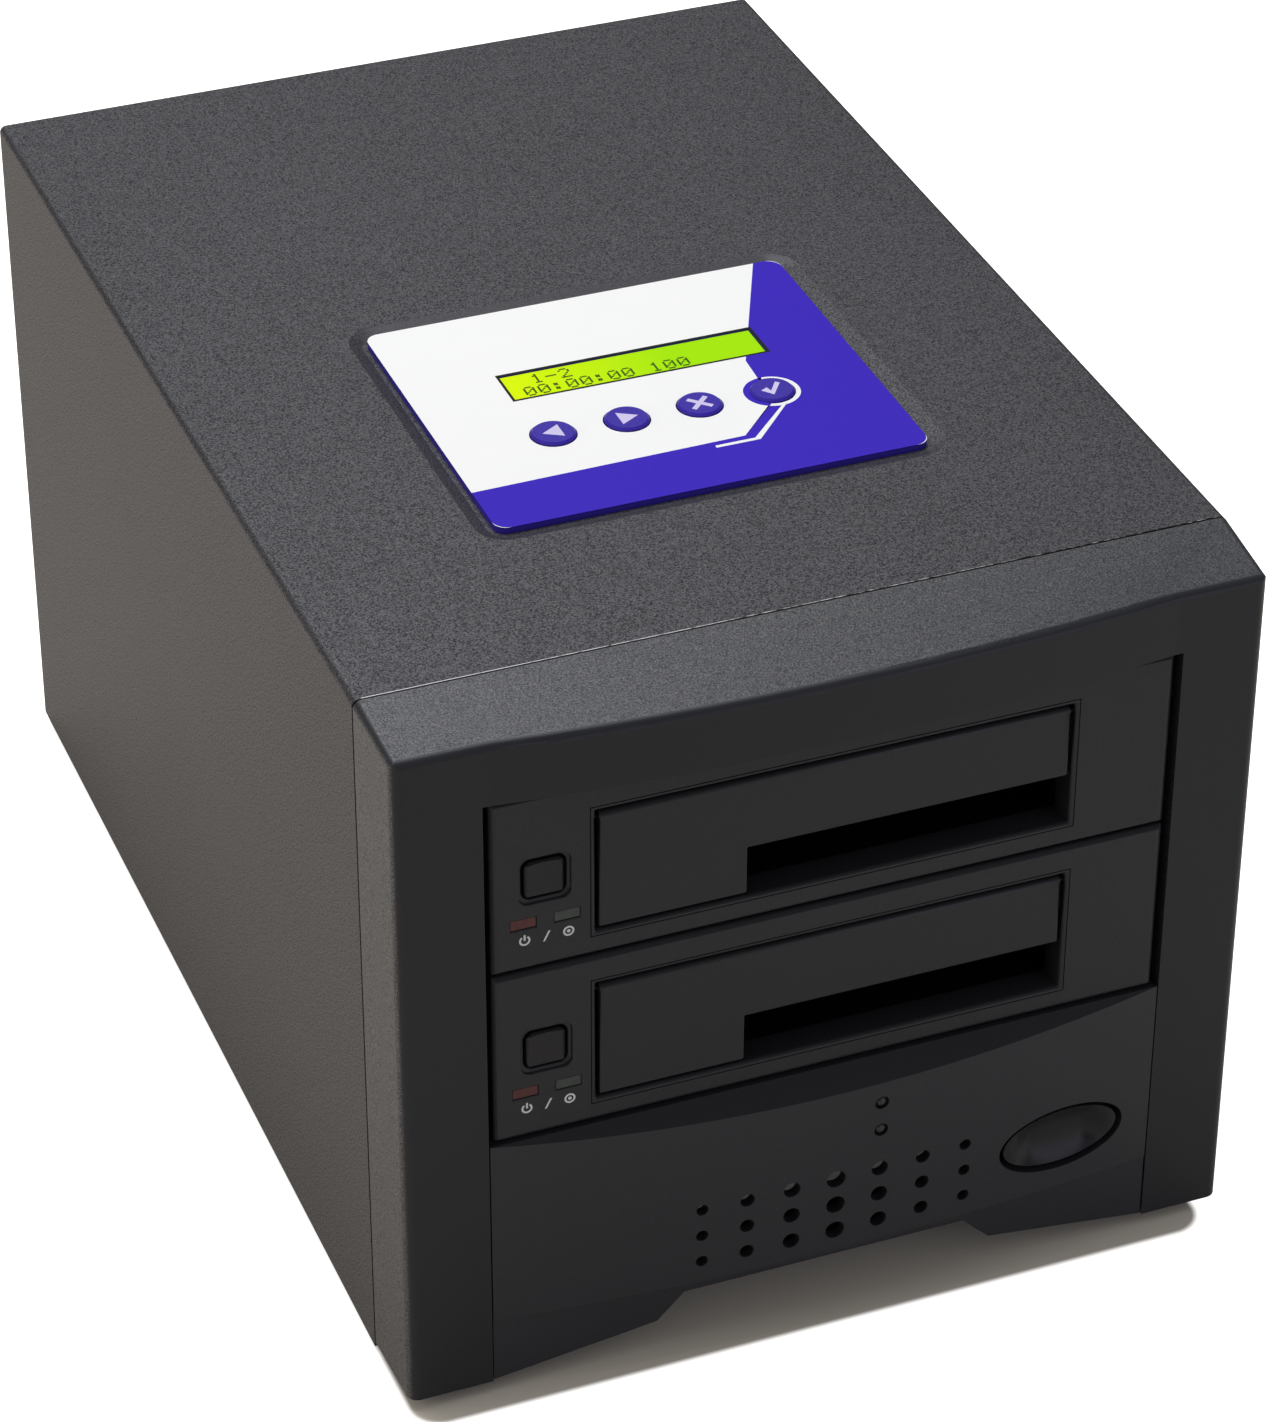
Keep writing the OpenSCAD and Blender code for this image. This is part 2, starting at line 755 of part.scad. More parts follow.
// Front bezel: two flat pillars and a bowed hood, open from behind
module front_bezel() color("#2e2e30") in_place() difference() {
    union() {
        bezel_block();
        bezel_hood();
    }
    block([-opening_w / 2, -bow - eps, z_low - eps], [opening_w / 2, bezel_d + eps, opening_top]);
    difference() {
        block([mould_wall - body_w / 2, mould_wall, z_low + mould_wall],
              [body_w / 2 - mould_wall, bezel_d + eps, z_top - mould_wall]);
        block([-opening_w / 2 - collar, 0, z_low],
              [opening_w / 2 + collar, bezel_d + 2 * eps, opening_top + collar]);
    }
    intersection() {
        behind_bow(mould_wall, opening_top + collar, z_top - mould_wall);
        block([mould_wall - bow_half, -bow, opening_top], [bow_half - mould_wall, mould_wall + eps, z_top]);
    }
}

// The bezel's straight block, a little narrower at its front, with its outer edges rounded
module bezel_block() {
    intersection() {
        along_z(z_low, z_top) bezel_plan();
        bezel_flank();
        mirror([1, 0, 0]) bezel_flank();
        along_x(-body_w / 2, body_w / 2) translate([0, z_low]) rim_corner(bezel_d, body_h);
    }
}

// The bezel's outline from above, with round front corners
module bezel_plan() {
    side_x = front_half + corner_reach * sin(draft_lean);
    side_y = corner_reach * cos(draft_lean);
    front_x = front_half - corner_reach;
    polygon([[-body_w / 2, bezel_d], [-side_x, side_y], [-front_x, 0],
             [front_x, 0], [side_x, side_y], [body_w / 2, bezel_d]]);
    for (x = [-1, 1]) translate([x * front_x, edge_r]) circle(edge_r);
}

// All that lies inside the bezel's left side, whose upper edge is round
module bezel_flank() {
    translate([-body_w / 2, bezel_d, z_low]) rotate(draft_lean) along_y(-2 * bezel_d, bezel_d)
        rim_corner(2 * body_w, body_h);
}

// An outline from the origin whose upper left corner has the rim's rounding
module rim_corner(w, h) {
    translate([rim_r, 0]) square([w - rim_r, h]);
    square([w, h - rim_r]);
    translate([rim_r, h - rim_r]) circle(rim_r);
}

// The hood over the bays, bowed forward, with a rounded upper edge
module bezel_hood() {
    hood_d = bow + rim_r + hood_back;
    intersection() {
        translate([0, bow_r - bow, opening_top]) rotate(255) rotate_extrude(angle = 30, $fn = 360) {
            translate([bow_r - hood_d, 0]) square([hood_d, hood_h - rim_r]);
            translate([bow_r - hood_d, 0]) square([hood_d - rim_r, hood_h]);
            translate([bow_r - rim_r, hood_h - rim_r]) circle(rim_r, $fn = 64);
        }
        block([-bow_half, -bow - eps, opening_top], [bow_half, bezel_d, z_top]);
    }
}

// Bowed lower panel with its bevelled ledge, plinth, vents, lamp holes and button guide
module lower_panel() color("#2c2d30") in_place() difference() {
    union() {
        difference() {
            intersection() {
                behind_bow(0, insert_z, opening_z);
                block([-insert_w / 2, -bow, insert_z], [insert_w / 2, ledge_d, opening_z]);
            }
            intersection() {
                behind_bow(mould_wall, insert_z + mould_wall, opening_z);
                under_bevel(insert_w / 2 - mould_wall);
            }
        }
        plinth();
        intersection() {
            behind_bow(mould_wall / 2, insert_z, opening_z);
            union() {
                power_oval(-bow, guide_end, power_gap + guide_wall);
                for (p = posts) bar_y(p.x, -bow, switch_y, p.y, post_r);
            }
        }
    }
    over_bevel();
    power_oval(-bow - eps, guide_end + eps, power_gap);
    for (c = [0 : vent_cols - 1], r = [0 : vent_rows - 1]) vent_hole(c - (vent_cols - 1) / 2, r);
    for (i = [0, 1]) bar_y(led_x, -bow - eps, mould_wall, led_z + i * led_dz, led_d / 2 + led_play);
}

// The space over the ledge's bevel, which falls by half a right angle to the front
module over_bevel() {
    along_x(-insert_w, insert_w) polygon([
        [eps, opening_z + eps], [-bow - eps, opening_z + eps], [-bow - eps, opening_z - bow - eps]]);
}

// The hollow behind the bevel, a wall away from it
module under_bevel(half) {
    slant = sqrt(2) * mould_wall;
    along_x(-half, half) polygon([
        [-bow, insert_z], [ledge_d + eps, insert_z], [ledge_d + eps, opening_z - mould_wall],
        [slant - mould_wall, opening_z - mould_wall], [-bow, opening_z - bow - slant]]);
}

// The power button's oval, grown on every side, from front to back
module power_oval(y0, y1, grow) {
    translate([power_x, 0, power_z])
        along_y(y0, y1) polygon(oval(power_w / 2 + grow, power_h / 2 + grow));
}

// One vent, smaller the further its column lies from the middle
module vent_hole(column, row) {
    bar_y(column * vent_dx, -bow - eps, mould_wall, vent_z + row * vent_dz,
          (vent_d - vent_step * abs(column)) / 2);
}

// Flat plinth under the bowed panel, raised in the middle as a shallow arch
module plinth() {
    half = insert_w / 2;
    rise = arch_h - arch_toe;
    along_y(plinth_set, plinth_set + mould_wall) translate([0, z_low]) polygon([
        [-half, chin_z + mould_wall], [-half, arch_edge], [-arch_half, arch_toe],
        [rise - arch_half, arch_h], [arch_half - rise, arch_h], [arch_half, arch_toe],
        [half, arch_edge], [half, chin_z + mould_wall]]);
}

module feet_places() {
    for (x = [-1, 1], y = [pan_y + foot_inset, rear_in - foot_inset])
        translate([x * foot_dx / 2, y, 0]) children();
}

// Rubber feet with a rounded sole and a plug in the base pan
module rubber_feet() color("#1c1c1d") in_place() feet_places() {
    sole_r = 1.5;
    rotate_extrude() {
        square([foot_d / 2 - sole_r, pan_z]);
        translate([0, sole_r]) square([foot_d / 2, pan_z - sole_r]);
        translate([foot_d / 2 - sole_r, sole_r]) circle(sole_r);
    }
    translate([0, 0, pan_z]) cylinder(h = sheet, r = screw_r - shank_play);
}

// Pan head screws of the cover's lip and of the case fan
module case_screws() color("#b9bbbd") in_place()
    screw_places() rotate([-90, 0, 0]) pan_screw(2 * sheet);

// Pan head screws that hold the drive housings in the cage
module rack_screws() color("#b9bbbd") in_place()
    rack_screw_places() rotate([0, 90, 0]) pan_screw(sheet + rack_wall);

// Oval power button, set back, with a dished middle, a stop flange and a plunger
module power_button() color("#27282b") in_place() {
    dish_y = bow_y(power_x) + power_set + power_dish - power_dish_r;
    difference() {
        intersection() {
            power_oval(-bow, flange_y + power_flange, 0);
            behind_bow(power_set, z_low, power_z + power_h);
        }
        translate([power_x - power_dish_w / 2, dish_y, power_z]) rotate([0, 90, 0])
            cylinder(h = power_dish_w, r = power_dish_r, $fn = 180);
    }
    power_oval(flange_y, flange_y + power_flange, power_gap + power_flange);
    bar_y(power_x, guide_end, plunger_tip, power_z, plunger_r);
}

// Return spring of the power button, wound round the switch
module power_button_spring() color("#a9abad") in_place()
    translate([power_x, flange_y + power_flange, power_z]) rotate([-90, 0, 0])
        coil(power_coil_r, wire_r, switch_y - flange_y - power_flange, power_turns);

// Board behind the lower panel, on its two posts
module switch_board() color("#2f5d3a") in_place()
    block([switch_board_low.x, switch_y, switch_board_low.y],
          [switch_board_high.x, switch_y + board_t, switch_board_high.y]);

// Push switch that the power button's plunger enters
module power_switch() color("#1f1f21") in_place() translate([power_x, 0, power_z]) difference() {
    block([-switch_w / 2, switch_y - switch_len, -switch_w / 2], [switch_w / 2, switch_y, switch_w / 2]);
    bar_y(0, switch_y - switch_len - eps, plunger_tip + power_travel + plunger_room,
          0, plunger_r + plunger_play);
}

// A round lamp in the lower panel, with its two leads down to the board
module front_led(z) {
    tip = bow_y(led_x) + led_d / 2;
    translate([led_x, 0, z]) {
        translate([0, tip, 0]) sphere(led_d / 2);
        bar_y(0, tip, led_back, 0, led_d / 2);
        bar_y(0, mould_wall - bow + led_set, led_back, 0, led_d / 2 + led_flange);
        for (x = [-1, 1]) translate([x * lead_dx / 2, 0, 0])
            block([-lead_w / 2, led_back - lead_w, -lead_w / 2], [lead_w / 2, switch_y, lead_w / 2]);
    }
}

module power_led() color("#6d7068") in_place() front_led(led_z);

module activity_led() color("#6d7068") in_place() front_led(led_z + led_dz);

// Moves a bay's piece to the height of its bay
module in_bay(i) {
    in_place() translate([0, 0, bay_z(i)]) children();
}

// Front plate of a bay: drive slot, button well and lamp windows
module bay_plate(i) color("#262729") in_bay(i) difference() {
    chamfered_front(bay_w, bay_h, bay_recess, plate_t, plate_chamfer);
    block([-slot_w / 2, bay_recess - eps, slot_z], [slot_w / 2, plate_back + eps, slot_z + slot_h]);
    translate([0, 0, slot_z + slot_h / 2]) flared_cut(slot_w, slot_h, bay_recess, slot_lip);
    translate([-slot_w / 2 - pin_seat, hinge_y, hinge_z]) rotate([0, 90, 0])
        cylinder(h = slot_w + 2 * pin_seat, r = pin_r + pin_fit);
    translate([-eject_x, 0, eject_z]) {
        along_y(bay_recess - eps, bay_recess + well_d) round_rect(well_w, well_w, well_r);
        along_y(bay_recess, plate_back + eps)
            round_rect(eject_w + 2 * eject_gap, eject_w + 2 * eject_gap, button_r + eject_gap);
    }
    for (s = [-1, 1]) translate([s * lamp_dx / 2 - eject_x, 0, lamp_z])
        block([-lamp_w / 2, bay_recess - eps, -lamp_h / 2], [lamp_w / 2, plate_back + eps, lamp_h / 2]);
}

// Housing of a bay: outer box, drive channel, rod brackets and lever post
module bay_housing(i) color("#3a3b3e") in_bay(i) difference() {
    inside = rack_w / 2 - rack_wall;
    floor_z = rack_z + rack_wall;
    union() {
        along_y(plate_back, rack_end) difference() {
            translate([-rack_w / 2, rack_z]) square([rack_w, rack_h]);
            translate([-inside, floor_z]) square([2 * inside, rack_h - 2 * rack_wall]);
        }
        along_y(plate_back, guide_stop) {
            for (x = [-1, 1]) translate([x * (guide_x + rack_wall / 2) - rack_wall / 2, rack_z])
                square([rack_wall, rack_h]);
            translate([-guide_x, slot_z - fit - rack_wall]) square([2 * guide_x, rack_wall]);
        }
        for (y = brackets)
            block([-inside - rack_wall / 2, y, rack_z], [-guide_x, y + bracket_t, rack_z + rack_h]);
        translate([-lever_x, lever_y, rack_z]) {
            cylinder(h = eject_z - lever_t / 2 - fit - rack_z, r = lever_hub);
            cylinder(h = eject_z + lever_t - rack_z, r = pivot_r);
        }
    }
    for (y = brackets) bar_y(-eject_x, y - eps, y + bracket_t + eps, eject_z, rod_r + fit);
    for (x = [-1, 1], y = rack_screw_y) translate([x * rack_w / 2 - 2 * rack_wall, y, bay_h / 2])
        rotate([0, 90, 0]) cylinder(h = 4 * rack_wall, r = screw_r);
}

// L-shaped door that swings inwards on the pin in its upper edge
module bay_door(i) color("#222325") in_bay(i) difference() {
    front = hinge_y - barrel_r;
    low = slot_z + door_gap;
    along_x(-door_w / 2, door_w / 2) {
        translate([front, low]) square([door_t, hinge_z - low]);
        translate([hinge_y, hinge_z]) circle(barrel_r);
    }
    block([door_w / 2 - notch_w, front - eps, low - eps],
          [door_w / 2 + eps, front + door_t + eps, low + notch_h]);
    translate([-slot_w, hinge_y, hinge_z]) rotate([0, 90, 0]) cylinder(h = 2 * slot_w, r = pin_r + pin_play);
}

module bay_hinge_pin(i) color("#c0c2c4") in_bay(i)
    translate([-slot_w / 2 - pin_seat + fit, hinge_y, hinge_z]) rotate([0, 90, 0])
        cylinder(h = slot_w + 2 * (pin_seat - fit), r = pin_r);

// Leaf spring under the housing's roof that presses on the back of the door
module bay_door_spring(i) color("#b0b2b5") in_bay(i) {
    roof = rack_z + rack_h - rack_wall;
    knee = slot_z + slot_h - leaf_drop;
    tip = hinge_z - leaf_tip;
    low = tip - leaf_end;
    y0 = hinge_y - barrel_r + door_t + fit;
    y1 = plate_back + rack_wall;
    y2 = plate_back + leaf_run;
    y3 = y2 + leaf_seat;
    along_x(leaf_x - leaf_w / 2, leaf_x + leaf_w / 2) polygon([
        [y0, low], [y0, tip], [y1, knee], [y2, roof], [y3, roof], [y3, roof - leaf_t], [y2, roof - leaf_t],
        [y1, knee - leaf_t], [y0 + leaf_t, tip - leaf_t], [y0 + leaf_t, low]]);
}

// Square push button with a bevelled, dished face and a stop flange behind the plate
module bay_eject_button(i) color("#2a2b2d") in_bay(i) translate([-eject_x, 0, eject_z]) difference() {
    flange_w = eject_w + 2 * (eject_gap + button_flange);
    union() {
        intersection() {
            along_y(bay_recess, bay_recess + button_body) round_rect(eject_w, eject_w, button_r);
            translate([0, 0, -eject_w / 2])
                chamfered_front(eject_w, eject_w, bay_recess, button_body + eps, button_bevel);
        }
        along_y(rod_start - button_flange - flange_bite, rod_start)
            round_rect(flange_w, flange_w, button_flange);
    }
    translate([0, bay_recess + button_dish - button_dish_r, -eject_w])
        cylinder(h = 2 * eject_w, r = button_dish_r, $fn = 180);
}

module bay_push_rod(i) color("#3f4043") in_bay(i) bar_y(-eject_x, rod_start, rod_end, eject_z, rod_r);

module bay_eject_spring(i) color("#a9abad") in_bay(i) translate([-eject_x, rod_start, eject_z])
    rotate([-90, 0, 0]) coil(eject_coil_r, wire_r, brackets[0] - rod_start, eject_turns);

// Lever that turns the rod's push into a push on the drive
module bay_eject_lever(i) color("#55575b") in_bay(i)
    translate([-lever_x, lever_y, eject_z - lever_t / 2]) difference() {
        linear_extrude(lever_t) {
            circle(lever_hub);
            translate([-lever_arm, -lever_w / 2]) square([lever_arm + lever_reach, lever_w]);
            for (x = [-lever_arm, lever_reach]) translate([x, 0]) circle(lever_w / 2);
        }
        translate([0, 0, -eps]) cylinder(h = lever_t + 2 * eps, r = pivot_r + pivot_play);
    }

// Light guide from a lamp window back into the housing
module bay_lamp(i, side) {
    in_bay(i) translate([side * lamp_dx / 2 - eject_x, 0, lamp_z])
        block([lamp_play - lamp_w / 2, bay_recess + lamp_recess, lamp_play - lamp_h / 2],
              [lamp_w / 2 - lamp_play, plate_back + lamp_tail, lamp_h / 2 - lamp_play]);
}

module bay_power_lamp(i) color("#7a2a2a") bay_lamp(i, -1);

module bay_access_lamp(i) color("#3c4f45") bay_lamp(i, 1);

// Circuit board across the housing's end, which carries the drive connector
module bay_backplane(i) color("#2f5d3a") in_bay(i)
    block([backplane_x, backplane_y, rack_z + rack_wall],
          [rack_w / 2 - rack_wall - fit, backplane_y + board_t, rack_z + rack_h - rack_wall - fit]);

// Drive connector with its signal and power tongues
module bay_connector(i) color("#18191a") in_bay(i)
    translate([connector_x - connector_w / 2, backplane_y, connector_z]) difference() {
        block([0, -connector_d, 0], [connector_w, 0, connector_h]);
        for (s = tongues) block([s.x, -connector_d - eps, (connector_h - tongue_h) / 2],
                                [s.x + s.y, -connector_wall, (connector_h + tongue_h) / 2]);
    }

// Moulded plate of the control panel, in the cover's recess
module control_panel() color("#e9e9e4") in_place() translate([panel_x, panel_y, recess_z]) difference() {
    linear_extrude(panel_t) round_rect(panel_w, panel_d, panel_r);
    panel_cuts(panel_t);
}

// Printed film on the control panel
module panel_film() color("#f6f6ee") in_place() translate([panel_x, panel_y, film_z]) difference() {
    linear_extrude(film_t) round_rect(panel_w, panel_d, panel_r);
    panel_cuts(film_t);
}

// The display window and the key holes
module panel_cuts(t) {
    translate([lcd_dx, lcd_dy, -eps]) linear_extrude(t + 2 * eps) square([lcd_w, lcd_h], center = true);
    for (k = [0 : 3]) translate([key_place(k), -key_dy, -eps])
        cylinder(h = t + 2 * eps, r = key_d / 2 + key_gap);
}

function key_place(k) = (k - 1.5) * key_dx + key_shift;

// One round key: cap, stop rim under the panel and stem
module round_key(k) {
    in_place() translate([panel_x + key_place(k), panel_y - key_dy, 0]) {
        top = film_z + film_t + key_proud;
        rim = recess_z - key_rim_gap - key_rim;
        foot = switch_top + key_travel + stem_gap;
        translate([0, 0, rim]) cylinder(h = top - key_bevel - rim, r = key_d / 2);
        translate([0, 0, top - key_bevel])
            cylinder(h = key_bevel, r1 = key_d / 2, r2 = key_d / 2 - key_bevel);
        translate([0, 0, rim]) cylinder(h = key_rim, r = key_d / 2 + key_rim);
        translate([0, 0, foot]) cylinder(h = rim + key_rim / 2 - foot, r = stem_r);
    }
}

module back_key() color("#4a36b8") round_key(0);

module next_key() color("#4a36b8") round_key(1);

module cancel_key() color("#4a36b8") round_key(2);

module enter_key() color("#4a36b8") round_key(3);

// Metal frame of the display, on the control board
module lcd_frame() color("#1a1a1c") in_display() difference() {
    display_block(0, lcd_frame_h, 2 * lcd_border);
    display_block(lcd_frame_h - lcd_sink, lcd_frame_h + eps, lcd_margin + lcd_bevel);
    display_block(lcd_floor, lcd_frame_h, lcd_margin);
}

// Moves a piece of the display to its place on the control board
module in_display() {
    in_place() translate([panel_x + lcd_dx, panel_y + lcd_dy, control_z + board_t]) children();
}

// A block the size of the display window, grown across
module display_block(z0, z1, grow) {
    along_z(z0, z1) square([lcd_w + grow, lcd_h + grow], center = true);
}

// Display with its backlight, set in the metal frame, and its lens in the panel's window
module lcd_glass() color("#a9e617") in_display() {
    display_block(lcd_floor, lcd_frame_h - lcd_sink, lcd_margin - fit);
    display_block(lcd_floor, lcd_frame_h + panel_t, -2 * fit);
}

// Control board under the lid, with its processor and cable header
module control_board() color("#2f5d3a") in_place() translate([panel_x, panel_y, control_z]) {
    difference() {
        linear_extrude(board_t)
            square([panel_w - 2 * board_margin, panel_d - 2 * board_margin], center = true);
        for (x = [-1, 1], y = [-1, 1]) translate([x * standoff_x, y * standoff_y, -eps])
            cylinder(h = board_t + 2 * eps, r = screw_r);
    }
    translate([0, chip_y, 0]) along_z(-chip_t, solder_t) square(chip_w, center = true);
    translate([0, header_y, 0]) along_z(-header_t, solder_t) square([header_w, header_d], center = true);
}

// Push switches under the keys
module key_switches() color("#232325") in_place()
    for (k = [0 : 3]) translate([panel_x + key_place(k), panel_y - key_dy, control_z + board_t]) {
        linear_extrude(key_switch_h) square(key_switch_w, center = true);
        cylinder(h = key_stud_h, r = key_stud_r);
    }

// Pillars between the control board and the floor of the recess
module board_standoffs() color("#c2c3c5") in_place()
    translate([panel_x, panel_y, control_z])
        for (x = [-1, 1], y = [-1, 1]) translate([x * standoff_x, y * standoff_y, 0]) {
            translate([0, 0, board_t]) cylinder(h = lcd_frame_h - sheet, r = standoff_r);
            translate([0, 0, -standoff_set])
                cylinder(h = board_t + 2 * standoff_set, r = screw_r - shank_play);
            translate([0, 0, -standoff_head_t]) cylinder(h = standoff_head_t, r = standoff_head_r);
        }

// Steel box of the power supply, with its fan slots and inlet window
module power_supply() color("#a3a6a9") in_place() difference() {
    block([supply_x - supply_w / 2, supply_y, pan_top],
          [supply_x + supply_w / 2, rear_in, pan_top + supply_h]);
    block([supply_x - supply_w / 2 + supply_wall, supply_y + supply_wall, pan_top + supply_wall],
          [supply_x + supply_w / 2 - supply_wall, rear_in - supply_wall, pan_top + supply_h - supply_wall]);
    translate([small_fan_x, 0, supply_mid]) fan_slots(small_fan_w, rear_in - 2 * supply_wall, rear_in + eps);
    translate([inlet_x, 0, supply_mid]) along_y(rear_in - 2 * supply_wall, rear_in + eps)
        square([inlet_w + 2 * fit, inlet_h + 2 * fit], center = true);
    for (i = [0 : supply_slots - 1])
        translate([supply_x + (i - (supply_slots - 1) / 2) * supply_slot_dx, supply_y, supply_mid])
            along_y(-eps, 2 * supply_wall) rotate(90) slot_outline(supply_slot_h, supply_slot_w);
}

// Three pole mains inlet: rim, body and the keyed cavity
module mains_inlet() color("#161617") in_place() translate([inlet_x, 0, supply_mid]) difference() {
    union() {
        along_y(rear_in, rear_in + inlet_rim)
            round_rect(inlet_w + 2 * inlet_lap, inlet_h + 2 * inlet_lap, inlet_lap);
        along_y(rear_in - inlet_deep, rear_in + inlet_rim / 2) square([inlet_w, inlet_h], center = true);
    }
    along_y(rear_in - inlet_deep + inlet_floor, rear_in + inlet_rim + eps) inlet_outline();
}

// The inlet's cavity, with its two lower corners cut off
module inlet_outline() {
    w = inlet_w / 2 - inlet_wall;
    h = inlet_h / 2 - inlet_wall;
    k = inlet_key;
    polygon([[-w, h], [w, h], [w, k - h], [w - k, -h], [k - w, -h], [-w, k - h]]);
}

// Flat blades of the inlet
module inlet_pins() color("#c9a75a") in_place()
    for (p = blades) translate([inlet_x + p.x, 0, supply_mid + p.y])
        block([-blade_w / 2, rear_in - inlet_deep + inlet_floor, -blade_h / 2],
              [blade_w / 2, rear_in - sheet, blade_h / 2]);

module case_fan_frame() color("#1d1d1f") in_place()
    translate([0, rear_in - fan_d, fan_mid]) fan_frame(fan_w, fan_d);

module case_fan_rotor() color("#242427") in_place()
    translate([0, rear_in - fan_d, fan_mid]) fan_rotor(fan_w, fan_d);

// Moves a piece of the small fan to its place behind the power supply's slots
module in_supply() {
    in_place() translate([small_fan_x, rear_in - supply_wall - small_fan_d, supply_mid]) children();
}

module supply_fan_frame() color("#1d1d1f") in_supply() fan_frame(small_fan_w, small_fan_d);

module supply_fan_rotor() color("#242427") in_supply() fan_rotor(small_fan_w, small_fan_d);

base_pan();
rear_panel();
drive_cage();
top_cover();
front_bezel();
lower_panel();
rubber_feet();
case_screws();
rack_screws();
power_button();
power_button_spring();
switch_board();
power_switch();
power_led();
activity_led();
for (i = [0, 1]) {
    bay = str(BAYS[i], "_bay_");
    bay_plate(i);
    bay_housing(i);
    bay_door(i);
    bay_hinge_pin(i);
    bay_door_spring(i);
    bay_eject_button(i);
    bay_push_rod(i);
    bay_eject_spring(i);
    bay_eject_lever(i);
    bay_power_lamp(i);
    bay_access_lamp(i);
    bay_backplane(i);
    bay_connector(i);
}
control_panel();
panel_film();
lcd_frame();
lcd_glass();
back_key();
next_key();
cancel_key();
enter_key();
control_board();
key_switches();
board_standoffs();
power_supply();
mains_inlet();
inlet_pins();
case_fan_frame();
case_fan_rotor();
supply_fan_frame();
supply_fan_rotor();
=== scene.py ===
"""Looks of a desktop hard drive duplicator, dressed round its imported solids.

The machine is a powder-coated steel case with a moulded front, two drive bays with spring doors, and a
control panel let into its lid. Lengths are in metres in the row frame unless a name ends in _mm.
"""

import logging
import math
from collections.abc import Mapping, Sequence
from dataclasses import dataclass, field
from enum import Enum
from typing import Any

import bpy
from mathutils import Matrix, Vector


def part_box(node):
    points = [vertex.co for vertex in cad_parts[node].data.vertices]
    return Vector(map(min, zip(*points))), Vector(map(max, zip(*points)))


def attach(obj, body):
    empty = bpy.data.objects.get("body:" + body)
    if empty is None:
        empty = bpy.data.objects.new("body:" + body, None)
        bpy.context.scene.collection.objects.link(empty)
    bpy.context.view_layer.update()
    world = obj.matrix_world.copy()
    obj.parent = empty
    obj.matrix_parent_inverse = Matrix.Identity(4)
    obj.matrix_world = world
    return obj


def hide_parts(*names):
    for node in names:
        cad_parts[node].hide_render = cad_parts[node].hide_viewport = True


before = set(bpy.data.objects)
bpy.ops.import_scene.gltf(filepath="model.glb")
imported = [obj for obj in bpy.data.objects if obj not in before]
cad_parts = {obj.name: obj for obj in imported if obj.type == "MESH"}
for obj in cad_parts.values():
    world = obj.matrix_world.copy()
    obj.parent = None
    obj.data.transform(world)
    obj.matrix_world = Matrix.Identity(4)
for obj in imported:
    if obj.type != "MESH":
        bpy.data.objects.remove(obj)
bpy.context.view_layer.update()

LOG = logging.getLogger("duplicator")
MM = 0.001
WHITE = (1.0, 1.0, 1.0, 1.0)
# A Mix node that mixes colours, and the output that gives the mix.
RGBA = {"out": 2, "data_type": "RGBA"}
WELD_MM = 0.001
SOFT_SEGMENTS = 2
SOFT_ANGLE = math.radians(35)
Loop = Sequence[tuple[float, float]]
Span = tuple[float, float]
Point = tuple[float, float, float]
Socket = bpy.types.NodeSocket
Inputs = dict[str, Any]
# A noise texture has nearly all of its tones between these values.
NOISE_SPAN: Span = (0.3, 0.7)


class Body(Enum):
    """The CAD bodies that new pieces ride on."""

    CASE = "case"
    POWER_BUTTON = "power_button"
    BACK_KEY = "back_key"
    NEXT_KEY = "next_key"
    CANCEL_KEY = "cancel_key"
    ENTER_KEY = "enter_key"


class Bay(Enum):
    """The two drive bays, by the first word of their nodes."""

    LOWER = "lower"
    UPPER = "upper"


def linear(hexa: str) -> tuple[float, float, float, float]:
    """Turns an sRGB hex colour into linear light.

    Args:
        hexa: Colour such as "#4b4a4d".

    Returns:
        Linear red, green, blue and an alpha of 1.
    """
    values = [int(hexa[i:i + 2], 16) / 255 for i in (1, 3, 5)]
    rgb = [v / 12.92 if v <= 0.04045 else ((v + 0.055) / 1.055) ** 2.4 for v in values]
    return (rgb[0], rgb[1], rgb[2], 1.0)


def per_mm(size_mm: float) -> float:
    """Gives the texture scale, per metre, whose features are size_mm across."""
    return 1.0 / (size_mm * MM)


@dataclass
class Graph:
    """A node tree that is filled from empty. In a finish it keeps the place on the part, in metres."""

    tree: bpy.types.NodeTree
    place: Socket | None = None

    def __post_init__(self) -> None:
        """Takes out the nodes that a new tree starts with."""
        self.tree.nodes.clear()

    def add(self, kind: str, inputs: Mapping[Any, Any] | Sequence[Any], out: int | str = 0,
            **settings: Any) -> Socket | None:
        """Adds one node with its settings, values and links.

        Args:
            kind: Type of the node, without the first word of a shader node.
            inputs: Values or linked sockets of the inputs, in order or by name or number.
            out: Name or number of the output that is wanted.
            **settings: Attributes of the node itself.

        Returns:
            The wanted output, or None from a node that ends its tree.
        """
        node = self.tree.nodes.new(kind if "Node" in kind else "ShaderNode" + kind)
        for name, value in settings.items():
            setattr(node, name, value)
        for key, value in inputs.items() if isinstance(inputs, Mapping) else enumerate(inputs):
            if isinstance(value, Socket):
                self.tree.links.new(value, node.inputs[key])
            else:
                node.inputs[key].default_value = value
        return node.outputs[out] if node.outputs else None


@dataclass(frozen=True)
class Tone:
    """Another colour for some faces: its span is how far up they look where it starts and where it is full."""

    colour: str
    span: Span


